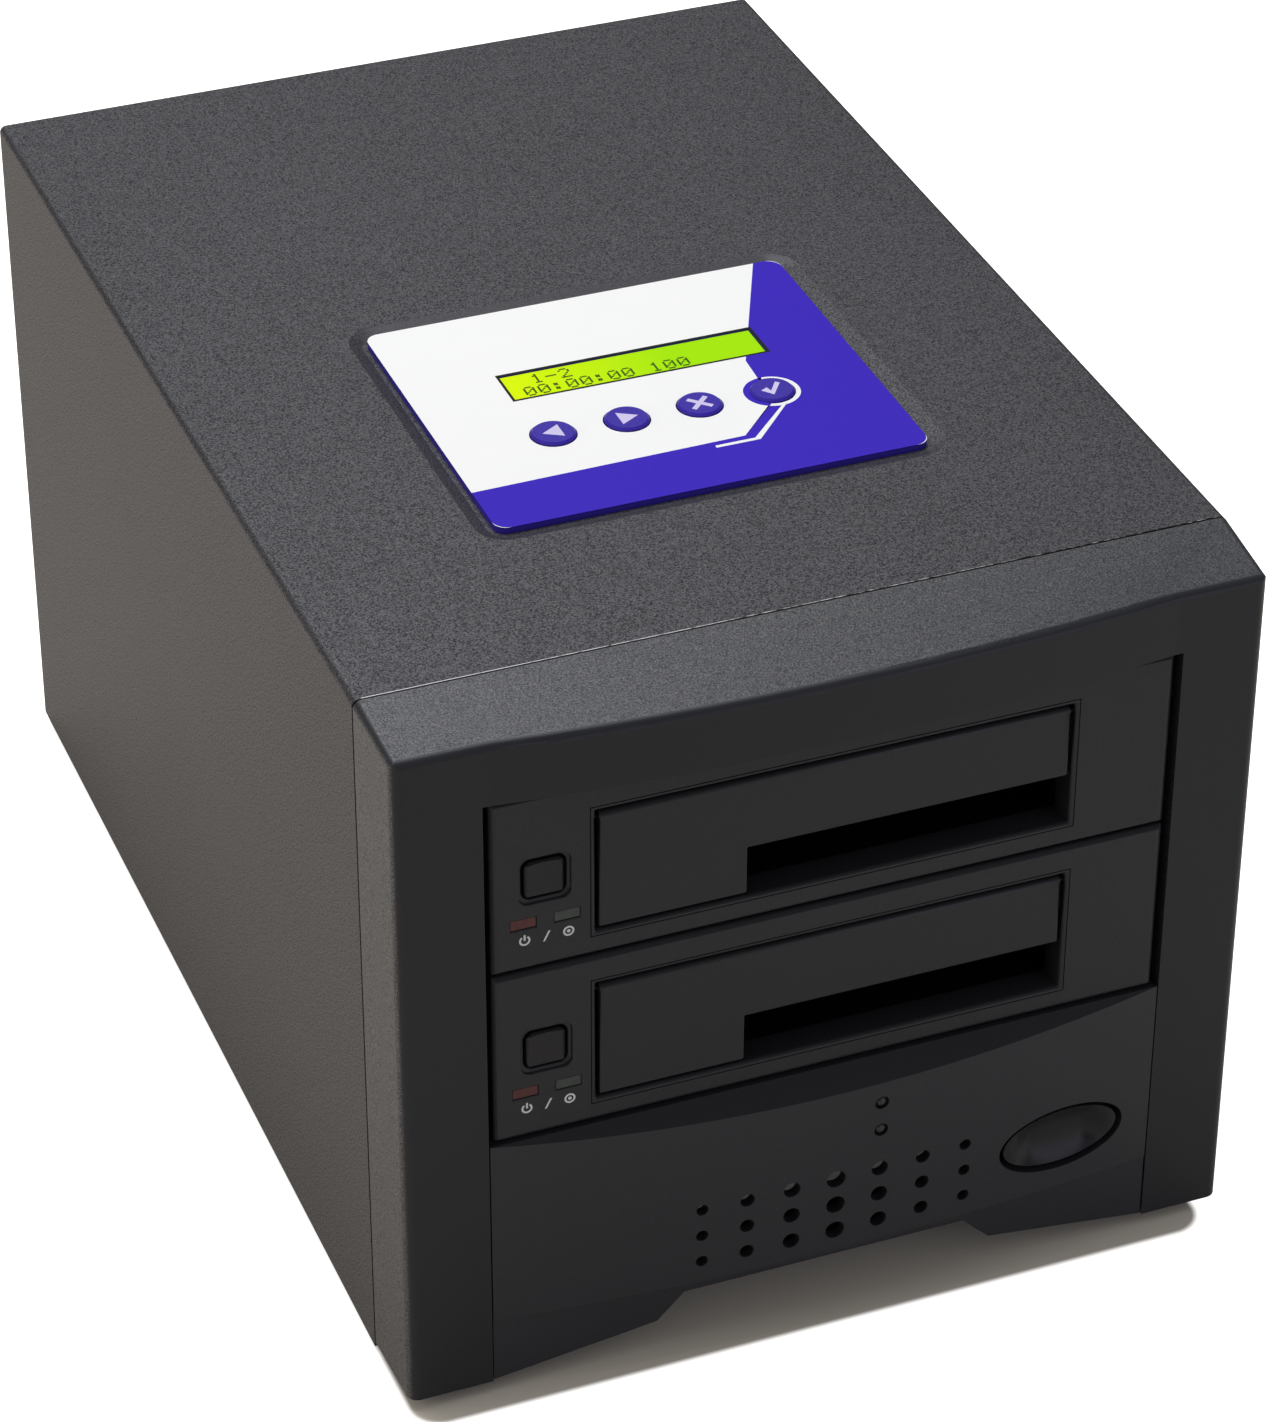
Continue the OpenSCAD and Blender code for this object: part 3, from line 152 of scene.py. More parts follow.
@dataclass(frozen=True)
class Finish:
    """A surface finish: the name of its material and the numbers of its shader."""

    name: str
    colour: str
    roughness: float = 0.5
    ior: float = 1.5
    metallic: float = 0.0
    specular: float = 0.5
    tone: Tone | None = None

    def surface(self, graph: Graph) -> Inputs:
        """Gives the shader inputs that this finish adds to its plain numbers.

        Args:
            graph: Nodes of the material; not used by a plain finish.

        Returns:
            Inputs of the shader by name.
        """
        return {}

    def build(self) -> bpy.types.Material:
        """Makes the material, or gives it back if it is there already.

        Returns:
            The material with its nodes.
        """
        known = bpy.data.materials.get(self.name)
        if known:
            return known
        material = bpy.data.materials.new(self.name)
        material.use_nodes = True
        graph = Graph(material.node_tree)
        graph.place = graph.add("TexCoord", {}, "Object")
        inputs = {"Base Color": linear(self.colour), "Roughness": self.roughness, "Metallic": self.metallic,
                  "Specular IOR Level": self.specular}
        if self.metallic == 0:
            inputs["IOR"] = self.ior
        inputs.update(self.surface(graph))
        if self.tone:
            rise = graph.add("SeparateXYZ", (graph.add("NewGeometry", {}, "Normal"),), "Z")
            share = graph.add("MapRange", (rise, *self.tone.span, 0.0, 1.0))
            inputs["Base Color"] = graph.add("Mix", {0: share, 6: inputs["Base Color"],
                                                     7: linear(self.tone.colour)}, **RGBA)
        graph.add("OutputMaterial", {"Surface": graph.add("BsdfPrincipled", inputs)})
        material.diffuse_color = linear(self.colour)
        return material


@dataclass(frozen=True)
class Grained(Finish):
    """A surface of fine raised grains, such as powder coat or a spark-eroded moulding.

    Looked at squarely the grains scatter the gloss, and at a lower angle their tops line up, so the gloss grows
    from square_gloss to specular and sparkles from grain to grain. At the lowest angles the grains hide each
    other, and low_gloss is the share of the gloss that is left. Faces that look to the front come from a smoother
    part of the tool and keep square_gloss. Spans are the values between which a change runs.
    """

    grain_mm: float = 0.5
    depth_mm: float = 0.02
    peak: str = "#808080"
    speckle: float = 0.3
    cloud_mm: float = 70.0
    cloud: float = 0.12
    square_gloss: float = 0.3
    low_gloss: float = 1.0
    sparkle: float = 0.2
    relief: float = 0.6
    rough_swing: float = 0.06
    speck_span: Span = (0.3, 0.75)
    glint_span: Span = (0.40, 0.70)
    lower_span: Span = (0.27, 0.40)
    lowest_span: Span = (0.45, 0.75)
    front_span: Span = (-0.9, -0.6)

    def surface(self, graph: Graph) -> Inputs:
        """Adds grain to colour, roughness, height and gloss, and a faint cloudiness over the whole piece.

        Args:
            graph: Nodes of the material.

        Returns:
            Inputs of the shader by name.
        """
        grain = graph.add("TexNoise", {"Vector": graph.place, "Scale": per_mm(self.grain_mm), "Detail": 3,
                                       "Roughness": 0.65}, "Fac")
        cloud = graph.add("TexNoise", {"Vector": graph.place, "Scale": per_mm(self.cloud_mm), "Detail": 2}, "Fac")
        specks = graph.add("MapRange", (grain, *self.speck_span, 0.0, self.speckle))
        clouds = graph.add("MapRange", (cloud, *NOISE_SPAN, 0.0, self.cloud))
        share = graph.add("Math", (specks, clouds), operation="ADD")
        colour = graph.add("Mix", {0: share, 6: linear(self.colour), 7: linear(self.peak)}, **RGBA)
        rough = graph.add("MapRange", (grain, *NOISE_SPAN, self.roughness + self.rough_swing,
                                       self.roughness - self.rough_swing))
        bump = graph.add("Bump", {"Height": grain, "Strength": self.relief, "Distance": self.depth_mm * MM})
        facing = graph.add("LayerWeight", {"Blend": 0.5}, "Facing")
        glint = graph.add("MapRange", (grain, *self.glint_span, self.specular * (1 - self.sparkle),
                                       self.specular * (1 + self.sparkle)))
        left = graph.add("MapRange", (facing, *self.lowest_span, 1.0, self.low_gloss))
        glint = graph.add("Math", (glint, left), operation="MULTIPLY")
        ahead = graph.add("SeparateXYZ", (graph.add("NewGeometry", {}, "Normal"),), "Y")
        low = graph.add("MapRange", (facing, *self.lower_span, 0.0, 1.0))
        grown = graph.add("MapRange", (ahead, *self.front_span, 0.0, 1.0))
        low = graph.add("Math", (low, grown), operation="MULTIPLY")
        gloss = graph.add("Mix", {0: low, 2: self.square_gloss, 3: glint}, data_type="FLOAT")
        return {"Base Color": colour, "Roughness": rough, "Specular IOR Level": gloss, "Normal": bump}


@dataclass(frozen=True)
class CutEdgeHighlight(Finish):
    """The sheared edge of painted sheet: bare metal in short runs, and a painted highlight that is strongest at
    one end.
    """

    metallic: float = 1.0
    paint: str = "#232324"
    run_mm: float = 1.6
    ends_mm: Span = (-90.0, 80.0)
    highlight_share: Span = (0.32, -0.12)
    highlight_span: Span = (0.42, 0.68)

    def surface(self, graph: Graph) -> Inputs:
        """Breaks the bare metal into runs, with a painted highlight that thins them out along the edge.

        Args:
            graph: Nodes of the material.

        Returns:
            Inputs of the shader by name.
        """
        run = graph.add("TexNoise", {"Vector": graph.place, "Scale": per_mm(self.run_mm), "Detail": 2}, "Fac")
        along = graph.add("SeparateXYZ", (graph.place,), "X")
        # Painted highlight: more of the edge turns to bright metal towards its left end.
        highlight_share = graph.add("MapRange", (along, *(x * MM for x in self.ends_mm), *self.highlight_share))
        total = graph.add("Math", (run, highlight_share), operation="ADD")
        bare_and_highlight = graph.add("MapRange", (total, *self.highlight_span, 0.0, 1.0))
        return {"Base Color": graph.add("Mix", {0: bare_and_highlight, 6: linear(self.paint), 7: linear(self.colour)}, **RGBA)}


@dataclass(frozen=True)
class PlatedSheet(Finish):
    """Plated metal: long rolling or drawing marks and broad soft spangles."""

    metallic: float = 1.0
    mark_mm: float = 0.5
    mark_length: float = 40.0
    depth_mm: float = 0.01
    relief: float = 0.3
    spangle_mm: float = 9.0
    dark: str = "#7d8084"
    rough_swing: Span = (-0.08, 0.1)

    def surface(self, graph: Graph) -> Inputs:
        """Adds stretched marks to colour, roughness and height.

        Args:
            graph: Nodes of the material.

        Returns:
            Inputs of the shader by name.
        """
        stretch = graph.add("Mapping", {"Vector": graph.place, "Scale": (1.0, 1.0 / self.mark_length, 1.0)})
        mark = graph.add("TexNoise", {"Vector": stretch, "Scale": per_mm(self.mark_mm), "Detail": 4}, "Fac")
        spangle = graph.add("TexVoronoi", {"Vector": graph.place, "Scale": per_mm(self.spangle_mm)}, "Distance")
        tone = graph.add("Math", (mark, spangle), operation="MULTIPLY")
        colour = graph.add("Mix", {0: tone, 6: linear(self.colour), 7: linear(self.dark)}, **RGBA)
        rough = graph.add("MapRange", (mark, *NOISE_SPAN, *(self.roughness + r for r in self.rough_swing)))
        bump = graph.add("Bump", {"Height": mark, "Strength": self.relief, "Distance": self.depth_mm * MM})
        return {"Base Color": colour, "Roughness": rough, "Normal": bump}


@dataclass(frozen=True)
class TintedLens(Finish):
    """A moulded lens of tinted clear plastic, unlit, over a dull reflector."""

    core: str = "#202020"
    streak_mm: float = 1.5
    coat: float = 0.2
    coat_roughness: float = 0.15

    def surface(self, graph: Graph) -> Inputs:
        """Lets the tint darken in soft streaks, as a light guide does.

        Args:
            graph: Nodes of the material.

        Returns:
            Inputs of the shader by name.
        """
        streak = graph.add("TexNoise", {"Vector": graph.place, "Scale": per_mm(self.streak_mm), "Detail": 1},
                           "Fac")
        colour = graph.add("Mix", {0: streak, 6: linear(self.colour), 7: linear(self.core)}, **RGBA)
        return {"Base Color": colour, "Coat Weight": self.coat, "Coat Roughness": self.coat_roughness}


@dataclass(frozen=True)
class Printed(Finish):
    """Screen-printed film or pad print: an even ink with a very fine matt tooth."""

    tooth_mm: float = 0.5
    tooth_depth_mm: float = 0.005
    relief: float = 0.3
    rough_swing: float = 0.05
    shade: str = "#000000"
    shade_share: float = 0.03
    cloud_mm: float = 12.0

    def surface(self, graph: Graph) -> Inputs:
        """Adds the tooth of the film to roughness and height, and a faint unevenness to the ink.

        Args:
            graph: Nodes of the material.

        Returns:
            Inputs of the shader by name.
        """
        tooth = graph.add("TexNoise", {"Vector": graph.place, "Scale": per_mm(self.tooth_mm), "Detail": 2}, "Fac")
        cloud = graph.add("TexNoise", {"Vector": graph.place, "Scale": per_mm(self.cloud_mm), "Detail": 1}, "Fac")
        share = graph.add("MapRange", (cloud, *NOISE_SPAN, 0.0, self.shade_share))
        colour = graph.add("Mix", {0: share, 6: linear(self.colour), 7: linear(self.shade)}, **RGBA)
        rough = graph.add("MapRange", (tooth, *NOISE_SPAN, self.roughness - self.rough_swing,
                                       self.roughness + self.rough_swing))
        bump = graph.add("Bump", {"Height": tooth, "Strength": self.relief, "Distance": self.tooth_depth_mm * MM})
        return {"Base Color": colour, "Roughness": rough, "Normal": bump}


@dataclass(frozen=True)
class LitDisplay(Finish):
    """The face of a backlit display, brighter and yellower at the end where its lamp sits."""

    lamp_end: str = "#c6de08"
    ends_mm: Span = (-26.0, 12.0)
    glow: float = 0.3

    def surface(self, graph: Graph) -> Inputs:
        """Grades the glow along the display.

        Args:
            graph: Nodes of the material.

        Returns:
            Inputs of the shader by name.
        """
        along = graph.add("SeparateXYZ", (graph.place,), "X")
        share = graph.add("MapRange", (along, *(x * MM for x in self.ends_mm), 0.0, 1.0))
        colour = graph.add("Mix", {0: share, 6: linear(self.lamp_end), 7: linear(self.colour)}, **RGBA)
        return {"Base Color": colour, "Emission Color": colour, "Emission Strength": self.glow}


@dataclass(frozen=True)
class Laminate(Finish):
    """Glass-epoxy board: woven cloth under solder mask, with lighter copper tracks."""

    track: str = "#3f7a4c"
    track_mm: float = 0.03
    pitch_mm: float = 2.5
    relief: float = 0.4
    edge_span: Span = (0.38, 0.42)
    coat: float = 0.3

    def surface(self, graph: Graph) -> Inputs:
        """Adds a grid of blocky tracks to the colour and the height.

        Args:
            graph: Nodes of the material.

        Returns:
            Inputs of the shader by name.
        """
        cells = graph.add("TexVoronoi", {"Vector": graph.place, "Scale": per_mm(self.pitch_mm)}, "Distance",
                          distance="CHEBYCHEV", feature="F1")
        edge = graph.add("MapRange", (cells, *self.edge_span, 0.0, 1.0))
        colour = graph.add("Mix", {0: edge, 6: linear(self.colour), 7: linear(self.track)}, **RGBA)
        bump = graph.add("Bump", {"Height": edge, "Strength": self.relief, "Distance": self.track_mm * MM})
        return {"Base Color": colour, "Normal": bump, "Coat Weight": self.coat}


# Powder coat on steel: dark warm grey with a fine orange-peel grain that sparkles at a low angle. The real grain
# is about 0.3 mm and is drawn at 0.38 mm so that it shows in the render.
COVER_PAINT = Grained("powder_coated_steel", "#262528", 0.42, 1.5, specular=0.73, grain_mm=0.38, depth_mm=0.06,
                      peak="#5a595e", speckle=0.6, cloud=0.06, low_gloss=0.6, sparkle=0.95)
# ABS moulded in a spark-eroded tool: even satin black, finer than the paint. Real grain 0.2 mm, drawn at 0.38 mm.
BEZEL_ABS = Grained("spark_eroded_abs", "#2d2e32", 0.38, 1.53, specular=1.0, grain_mm=0.38, depth_mm=0.02,
                    peak="#404146", speckle=0.1, cloud=0.06, square_gloss=0.23, low_gloss=0.65, sparkle=0.8)
# The same ABS from a smoother satin tool, for the panel under the bays. Its upward bevels are given a darker
# colour: painted shade for how dark they look.
PANEL_ABS = Grained("satin_moulded_abs", "#2f3035", 0.44, 1.53, tone=Tone("#2b2b30", (0.45, 0.6)), depth_mm=0.02,
                    peak="#404146", cloud=0.06)
# Bay mouldings: closer and blacker than the bezel.
BAY_ABS = Grained("satin_black_abs", "#292a2e", 0.42, 1.53, depth_mm=0.018, peak="#3b3c41", cloud=0.06)
DOOR_ABS = Grained("satin_door_abs", "#27282c", 0.4, 1.53, depth_mm=0.015, peak="#38393e", cloud=0.06)
# Buttons are polished a little by fingers, so they are smoother.
BUTTON_ABS = Grained("polished_button_abs", "#222226", 0.32, 1.53, depth_mm=0.005, peak="#2e2e33", speckle=0.25,
                     cloud=0.05, square_gloss=0.26)
# Inner mouldings of a coarser tool, seen only through slots.
HOUSING_ABS = Grained("moulded_housing_abs", "#0b0b0d", 0.7, 1.53, specular=0.1, grain_mm=0.8, depth_mm=0.02,
                      peak="#141416", square_gloss=0.1)
BLACK_PLASTIC = Grained("glass_filled_nylon", "#101112", 0.55, 1.53, specular=0.3, grain_mm=0.7, depth_mm=0.02,
                        peak="#202124", speckle=0.4, square_gloss=0.25)
# Moulded rubber: dull, with a dry bloom.
FOOT_RUBBER = Grained("moulded_rubber", "#161617", 0.85, 1.52, specular=0.25, grain_mm=0.9, depth_mm=0.03,
                      peak="#303032", speckle=0.4, square_gloss=0.2)
# The panel's plate is moulded in the colour of its printed band, so its edge shows dark.
PLATE_ABS = Grained("violet_moulded_abs", "#3a2bb0", 0.5, 1.53, specular=0.25, depth_mm=0.006, peak="#4535bd",
                    speckle=0.2, square_gloss=0.2)
KEY_ABS = Grained("violet_key_abs", "#35249c", 0.42, 1.53, specular=0.25, depth_mm=0.005, peak="#432fae",
                  speckle=0.2, square_gloss=0.2)
# Electroplated zinc over rolled sheet: cool grey with long rolling marks.
ZINC_SHEET = PlatedSheet("zinc_plated_sheet", "#a7aaad", 0.38)
SCREW_STEEL = PlatedSheet("plated_screw_steel", "#b9bbbd", 0.3, mark_mm=0.3, mark_length=1.0)
# Wire and strip drawn through a die: bright, with marks along it.
SPRING_WIRE = PlatedSheet("drawn_spring_steel", "#a4a6a8", 0.32, mark_mm=0.2, mark_length=8.0)
PIN_BRASS = PlatedSheet("nickelled_brass", "#c8ab66", 0.3, mark_mm=0.3, mark_length=4.0, dark="#a88c4e")
# Black oxide on the hinge pins: dark and only faintly bright.
PIN_STEEL = PlatedSheet("black_oxide_steel", "#232426", 0.5, mark_mm=0.2, mark_length=8.0, dark="#17181a")
# The sheared edge of the cover: bare steel in places, and a painted highlight along it, strongest at the left end.
CUT_EDGE_HIGHLIGHT = CutEdgeHighlight("cut_edge_painted_highlight", "#d6d6d7", 0.4)
# Solder mask over glass cloth: dull green with lighter tracks.
BOARD = Laminate("solder_masked_board", "#2b5636", 0.35, 1.5)
# Tinted polycarbonate light guides, dark while their lamps are off.
RED_LENS = TintedLens("red_lens", "#6a2326", 0.35, 1.58, specular=0.3, core="#3c1618")
GREEN_LENS = TintedLens("grey_green_lens", "#46524e", 0.35, 1.58, specular=0.3, core="#2c3331")
CLEAR_LENS = TintedLens("smoked_lens", "#38383a", 0.4, 1.58, specular=0.3, core="#262628")
# Screen-printed polyester film: matt, so its inks stay deep. Its cut sides take up the ink of the band.
FILM_WHITE = Printed("white_printed_film", "#f7f7f3", 0.55, 1.57, specular=0.12, tone=Tone("#33219c", (0.8, 0.5)),
                     shade="#d9dcea")
LINE_WHITE = Printed("white_printed_line", "#f7f7f3", 0.55, 1.57, specular=0.12, shade="#d9dcea")
FILM_VIOLET = Printed("violet_printed_ink", "#3a23b8", 0.55, 1.57, specular=0.1, shade="#2b1c8c")
# Painted shade: dark ink round the display window that stands for the shade of its recess.
WINDOW_SHADE_INK = Printed("painted_window_shade", "#1d2114", 0.6, 1.57, specular=0.1)
MARK_WHITE = Printed("white_pad_print", "#fbfbfb", 0.6, 1.5, specular=0.2)
KEY_WHITE = Printed("pale_pad_print", "#d3cbec", 0.6, 1.5, specular=0.15)
# Backlit glass: an even yellow-green glow under darker dots.
LCD_LIT = LitDisplay("lit_display_glass", "#94cf08", 0.4, 1.52, specular=0.03)
LCD_DOT = Printed("display_dot", "#41620b", 0.5, 1.52, specular=0.1)


def dress(finish: Finish, *nodes: str) -> None:
    """Gives CAD nodes a finish in their own material slots.

    Args:
        finish: Finish to build.
        *nodes: Names of the CAD nodes.
    """
    material = finish.build()
    for name in nodes:
        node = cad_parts[name]
        if not node.material_slots:
            node.data.materials.append(material)
        for slot in node.material_slots:
            slot.material = material
        LOG.info("dressed %s in %s", name, finish.name)


def soften(width_mm: float, *nodes: str) -> None:
    """Rounds the sharp edges of CAD nodes a little with a modifier, as moulding and painting do.

    Args:
        width_mm: Width of the rounding.
        *nodes: Names of the CAD nodes.
    """
    for name in nodes:
        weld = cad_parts[name].modifiers.new("joined_faces", "WELD")
        weld.merge_threshold = WELD_MM * MM
        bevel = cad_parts[name].modifiers.new("soft_edges", "BEVEL")
        bevel.width = width_mm * MM
        bevel.segments = SOFT_SEGMENTS
        bevel.limit_method = "ANGLE"
        bevel.angle_limit = SOFT_ANGLE
        bevel.use_clamp_overlap = False


@dataclass(frozen=True)
class Lean:
    """A lean of a moulding's top down towards the front, and a joint that runs smooth across it.

    Lengths are in millimetres in the row frame.
    """

    drop_mm: float
    front_y_mm: float
    back_y_mm: float
    foot_z_mm: float
    head_z_mm: float
    joint_x_mm: float
    joint_reach_mm: float = 0.05
    joint_step_mm: float = 0.225

    def apply(self, node: str) -> None:
        """Leans a CAD node with a modifier, so that its mesh stays as it was imported.

        Args:
            node: Name of the CAD node.
        """
        tree = bpy.data.node_groups.new(node + "_lean", "GeometryNodeTree")
        for way in ("INPUT", "OUTPUT"):
            tree.interface.new_socket("Geometry", in_out=way, socket_type="NodeSocketGeometry")
        graph = Graph(tree)
        mesh = graph.add("NodeGroupInput", {})
        axes = graph.add("SeparateXYZ", (graph.add("GeometryNodeInputPosition", {}),)).node.outputs
        side = graph.add("Math", (axes["X"],), operation="ABSOLUTE")
        joint = graph.add("Math", (side, self.joint_x_mm * MM, self.joint_reach_mm * MM), operation="COMPARE")
        above = graph.add("Math", (axes["Z"], self.foot_z_mm * MM), operation="GREATER_THAN")
        chosen = graph.add("Math", (joint, above), operation="MULTIPLY")
        merged = graph.add("GeometryNodeMergeByDistance", {"Geometry": mesh, "Selection": chosen,
                                                           "Distance": self.joint_step_mm * MM})
        drop = graph.add("MapRange", (axes["Y"], self.front_y_mm * MM, self.back_y_mm * MM, -self.drop_mm * MM,
                                      0.0))
        share = graph.add("MapRange", (axes["Z"], self.foot_z_mm * MM, self.head_z_mm * MM, 0.0, 1.0))
        down = graph.add("Math", (drop, share), operation="MULTIPLY")
        moved = graph.add("GeometryNodeSetPosition", {"Geometry": merged, "Offset": graph.add("CombineXYZ",
                                                                                              {2: down})})
        graph.add("NodeGroupOutput", (moved,))
        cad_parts[node].modifiers.new("lean", "NODES").node_group = tree
        LOG.info("leaned %s", node)


def circle(x: float, y: float, r: float, steps: int = 48) -> Loop:
    """Gives the points of a circle, in millimetres."""
    return [(x + r * math.cos(math.tau * i / steps), y + r * math.sin(math.tau * i / steps)) for i in range(steps)]


def arc(x: float, y: float, r: float, start: float, end: float, steps: int = 12) -> Loop:
    """Gives points along an arc, in millimetres, with its ends in degrees."""
    turn = [math.radians(start + (end - start) * i / steps) for i in range(steps + 1)]
    return [(x + r * math.cos(a), y + r * math.sin(a)) for a in turn]


def rectangle(x0: float, y0: float, x1: float, y1: float) -> Loop:
    """Gives the corners of a rectangle, in millimetres."""
    return [(x0, y0), (x1, y0), (x1, y1), (x0, y1)]


def flat_piece(name: str, loops: Sequence[Loop], thick_mm: float, place: Matrix, finish: Finish,
               body: Body = Body.CASE) -> bpy.types.Object:
    """Makes a thin printed or inlaid piece from outlines.

    Args:
        name: Name of the piece.
        loops: Closed outlines in millimetres; one inside another is a hole.
        thick_mm: Thickness of the piece.
        place: Where the outline's plane lies, with the piece standing on it.
        finish: Finish of the piece.
        body: CAD body that the piece rides on.

    Returns:
        The new mesh object.
    """
    curve = bpy.data.curves.new(name, "CURVE")
    curve.dimensions = "2D"
    curve.fill_mode = "BOTH"
    curve.extrude = thick_mm * MM / 2
    for loop in loops:
        spline = curve.splines.new("POLY")
        spline.points.add(len(loop) - 1)
        spline.use_cyclic_u = True
        for point, (x, y) in zip(spline.points, loop):
            point.co = (x * MM, y * MM, 0.0, 1.0)
    sketch = bpy.data.objects.new(name + "_sketch", curve)
    mesh = bpy.data.meshes.new_from_object(sketch)
    bpy.data.objects.remove(sketch)
    bpy.data.curves.remove(curve)
    mesh.name = name
    mesh.transform(place @ Matrix.Translation((0, 0, thick_mm * MM / 2)))
    piece = bpy.data.objects.new(name, mesh)
    bpy.context.scene.collection.objects.link(piece)
    mesh.materials.clear()
    mesh.materials.append(finish.build())
    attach(piece, body.value)
    LOG.info("made %s on %s", name, body.value)
    return piece


@dataclass
class Case:
    """The folded steel case, its moulded front and the pieces fixed to them."""

    edge_mm: float = 0.22
    edge_thick_mm: float = 0.03
    edge_inset_mm: float = 2.0
    hood: Lean = Lean(2.2, -136.5, -118.0, 150.2, 162.0, 73.5)

    def dress(self) -> None:
        """Gives the case's nodes their finishes."""
        dress(COVER_PAINT, "top_cover", "rear_panel")
        dress(BEZEL_ABS, "front_bezel")
        dress(PANEL_ABS, "lower_panel")
        dress(FOOT_RUBBER, "rubber_feet")
        dress(ZINC_SHEET, "base_pan", "drive_cage")
        dress(SCREW_STEEL, "case_screws", "rack_screws")
        dress(SPRING_WIRE, "power_button_spring")
        dress(BOARD, "switch_board")
        dress(BLACK_PLASTIC, "power_switch")
        dress(CLEAR_LENS, "power_led", "activity_led")

    def build(self) -> None:
        """Leans the hood and adds the cut edge of the cover along its seam with the bezel: bare steel and a
        painted highlight.
        """
        self.hood.apply("front_bezel")
        low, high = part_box("top_cover")
        half = (high.x - low.x) / 2 / MM - self.edge_inset_mm
        strip = rectangle(-half, 0.0, half, self.edge_mm)
        flat_piece("cover_edge_highlight", [strip], self.edge_thick_mm, Matrix.Translation((0, low.y, high.z)), CUT_EDGE_HIGHLIGHT)


@dataclass
class PowerButton:
    """The oval power button: a scooped cap, its stop flange and its plunger."""

    width_mm: float = 27.6
    height_mm: float = 13.6
    scoop_mm: float = 2.3
    scoop_share: float = 0.92
    lip_mm: float = 7.0
    forward_mm: float = 0.6
    bow_r_mm: float = 645.2
    flange_t_mm: float = 1.2
    plunger_r_mm: float = 2.5
    plunger_mm: float = 4.0
    columns: int = 72
    rows: int = 28
    round_steps: int = 64
    crease_deg: float = 30.0

    def face(self, x: float, z: float) -> float:
        """Gives the depth of the cap's face behind the middle of its rim.

        Args:
            x: Place to the right of the button's middle, in millimetres.
            z: Place above it, in millimetres.

        Returns:
            Depth in millimetres.
        """
        half = self.scoop_share * self.width_mm / 2
        inside = min(1.0, max(0.0, (half - abs(x)) / self.lip_mm))
        top = self.height_mm / 2 * math.sqrt(1 - (2 * x / self.width_mm) ** 2)
        return self.scoop_mm * (1 - (z / top) ** 2) * inside ** 2 * (3 - 2 * inside)

    def prism(self, loop: Loop, front: float, back: float, verts: list[Vector], faces: list[list[int]]) -> None:
        """Adds a closed upright prism that runs from front to back.

        Args:
            loop: Outline in the plane of the machine's front, in metres.
            front: Where the prism starts, in metres.
            back: Where it ends.
            verts: List that gets the corners.
            faces: List that gets the faces.
        """
        n = len(loop)
        base = len(verts)
        verts.extend(Vector((x, y, z)) for y in (front, back) for x, z in loop)
        faces.append([base + i for i in range(n)])
        faces.append([base + n + i for i in reversed(range(n))])
        faces.extend([base + i, base + n + i, base + n + (i + 1) % n, base + (i + 1) % n] for i in range(n))

    def build(self) -> None:
        """Makes the button's mesh over its CAD node."""
        low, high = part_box("power_button")
        mx, mz = (low.x + high.x) / 2, (low.z + high.z) / 2
        a, b = self.width_mm / 2, self.height_mm / 2
        lean = mx / MM / self.bow_r_mm
        rim = low.y + (lean * a - self.forward_mm) * MM
        stop = high.y - (self.plunger_mm + self.flange_t_mm) * MM
        verts: list[Vector] = []
        faces: list[list[int]] = []
        half = self.scoop_share * a
        steps = {-a * math.cos(math.pi * i / self.columns) for i in range(1, self.columns)}
        steps |= {s * (half - d) for s in (-1, 1) for d in (0.0, self.lip_mm)}
        xs = sorted(steps)
        for x in xs:
            top = b * math.sqrt(1 - (x / a) ** 2)
            for j in range(self.rows + 1):
                z = top * (2 * j / self.rows - 1)
                verts.append(Vector((mx + x * MM, rim + (lean * x + self.face(x, z)) * MM, mz + z * MM)))
        wide = self.rows + 1
        faces.extend([i * wide + j, (i + 1) * wide + j, (i + 1) * wide + j + 1, i * wide + j + 1]
                     for i in range(len(xs) - 1) for j in range(self.rows))
        last = (len(xs) - 1) * wide
        edge = [i * wide for i in range(len(xs))] + [last + j for j in range(1, wide)]
        edge += [i * wide + self.rows for i in reversed(range(len(xs) - 1))]
        edge += reversed(range(1, self.rows))
        base = len(verts)
        verts.extend(Vector((verts[k].x, stop, verts[k].z)) for k in edge)
        n = len(edge)
        faces.extend([edge[k], base + k, base + (k + 1) % n, edge[(k + 1) % n]] for k in range(n))
        faces.append([base + k for k in reversed(range(n))])
        fa, fb = (high.x - low.x) / 2, (high.z - low.z) / 2
        turn = [math.tau * i / self.round_steps for i in range(self.round_steps)]
        flange = [(mx + fa * math.cos(v), mz + fb * math.sin(v)) for v in turn]
        self.prism(flange, stop, stop + self.flange_t_mm * MM, verts, faces)
        r = self.plunger_r_mm * MM
        rod = [(mx + r * math.cos(v), mz + r * math.sin(v)) for v in turn]
        self.prism(rod, stop + self.flange_t_mm * MM, high.y, verts, faces)
        mesh = bpy.data.meshes.new("power_button_cap")
        mesh.from_pydata(verts, [], faces)
        mesh.validate()
        mesh.shade_smooth()
        mesh.set_sharp_from_angle(angle=math.radians(self.crease_deg))
        mesh.materials.append(BUTTON_ABS.build())
        cap = bpy.data.objects.new("power_button_cap", mesh)
        bpy.context.scene.collection.objects.link(cap)
        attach(cap, Body.POWER_BUTTON.value)
        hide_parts("power_button")
        LOG.info("made power_button_cap")


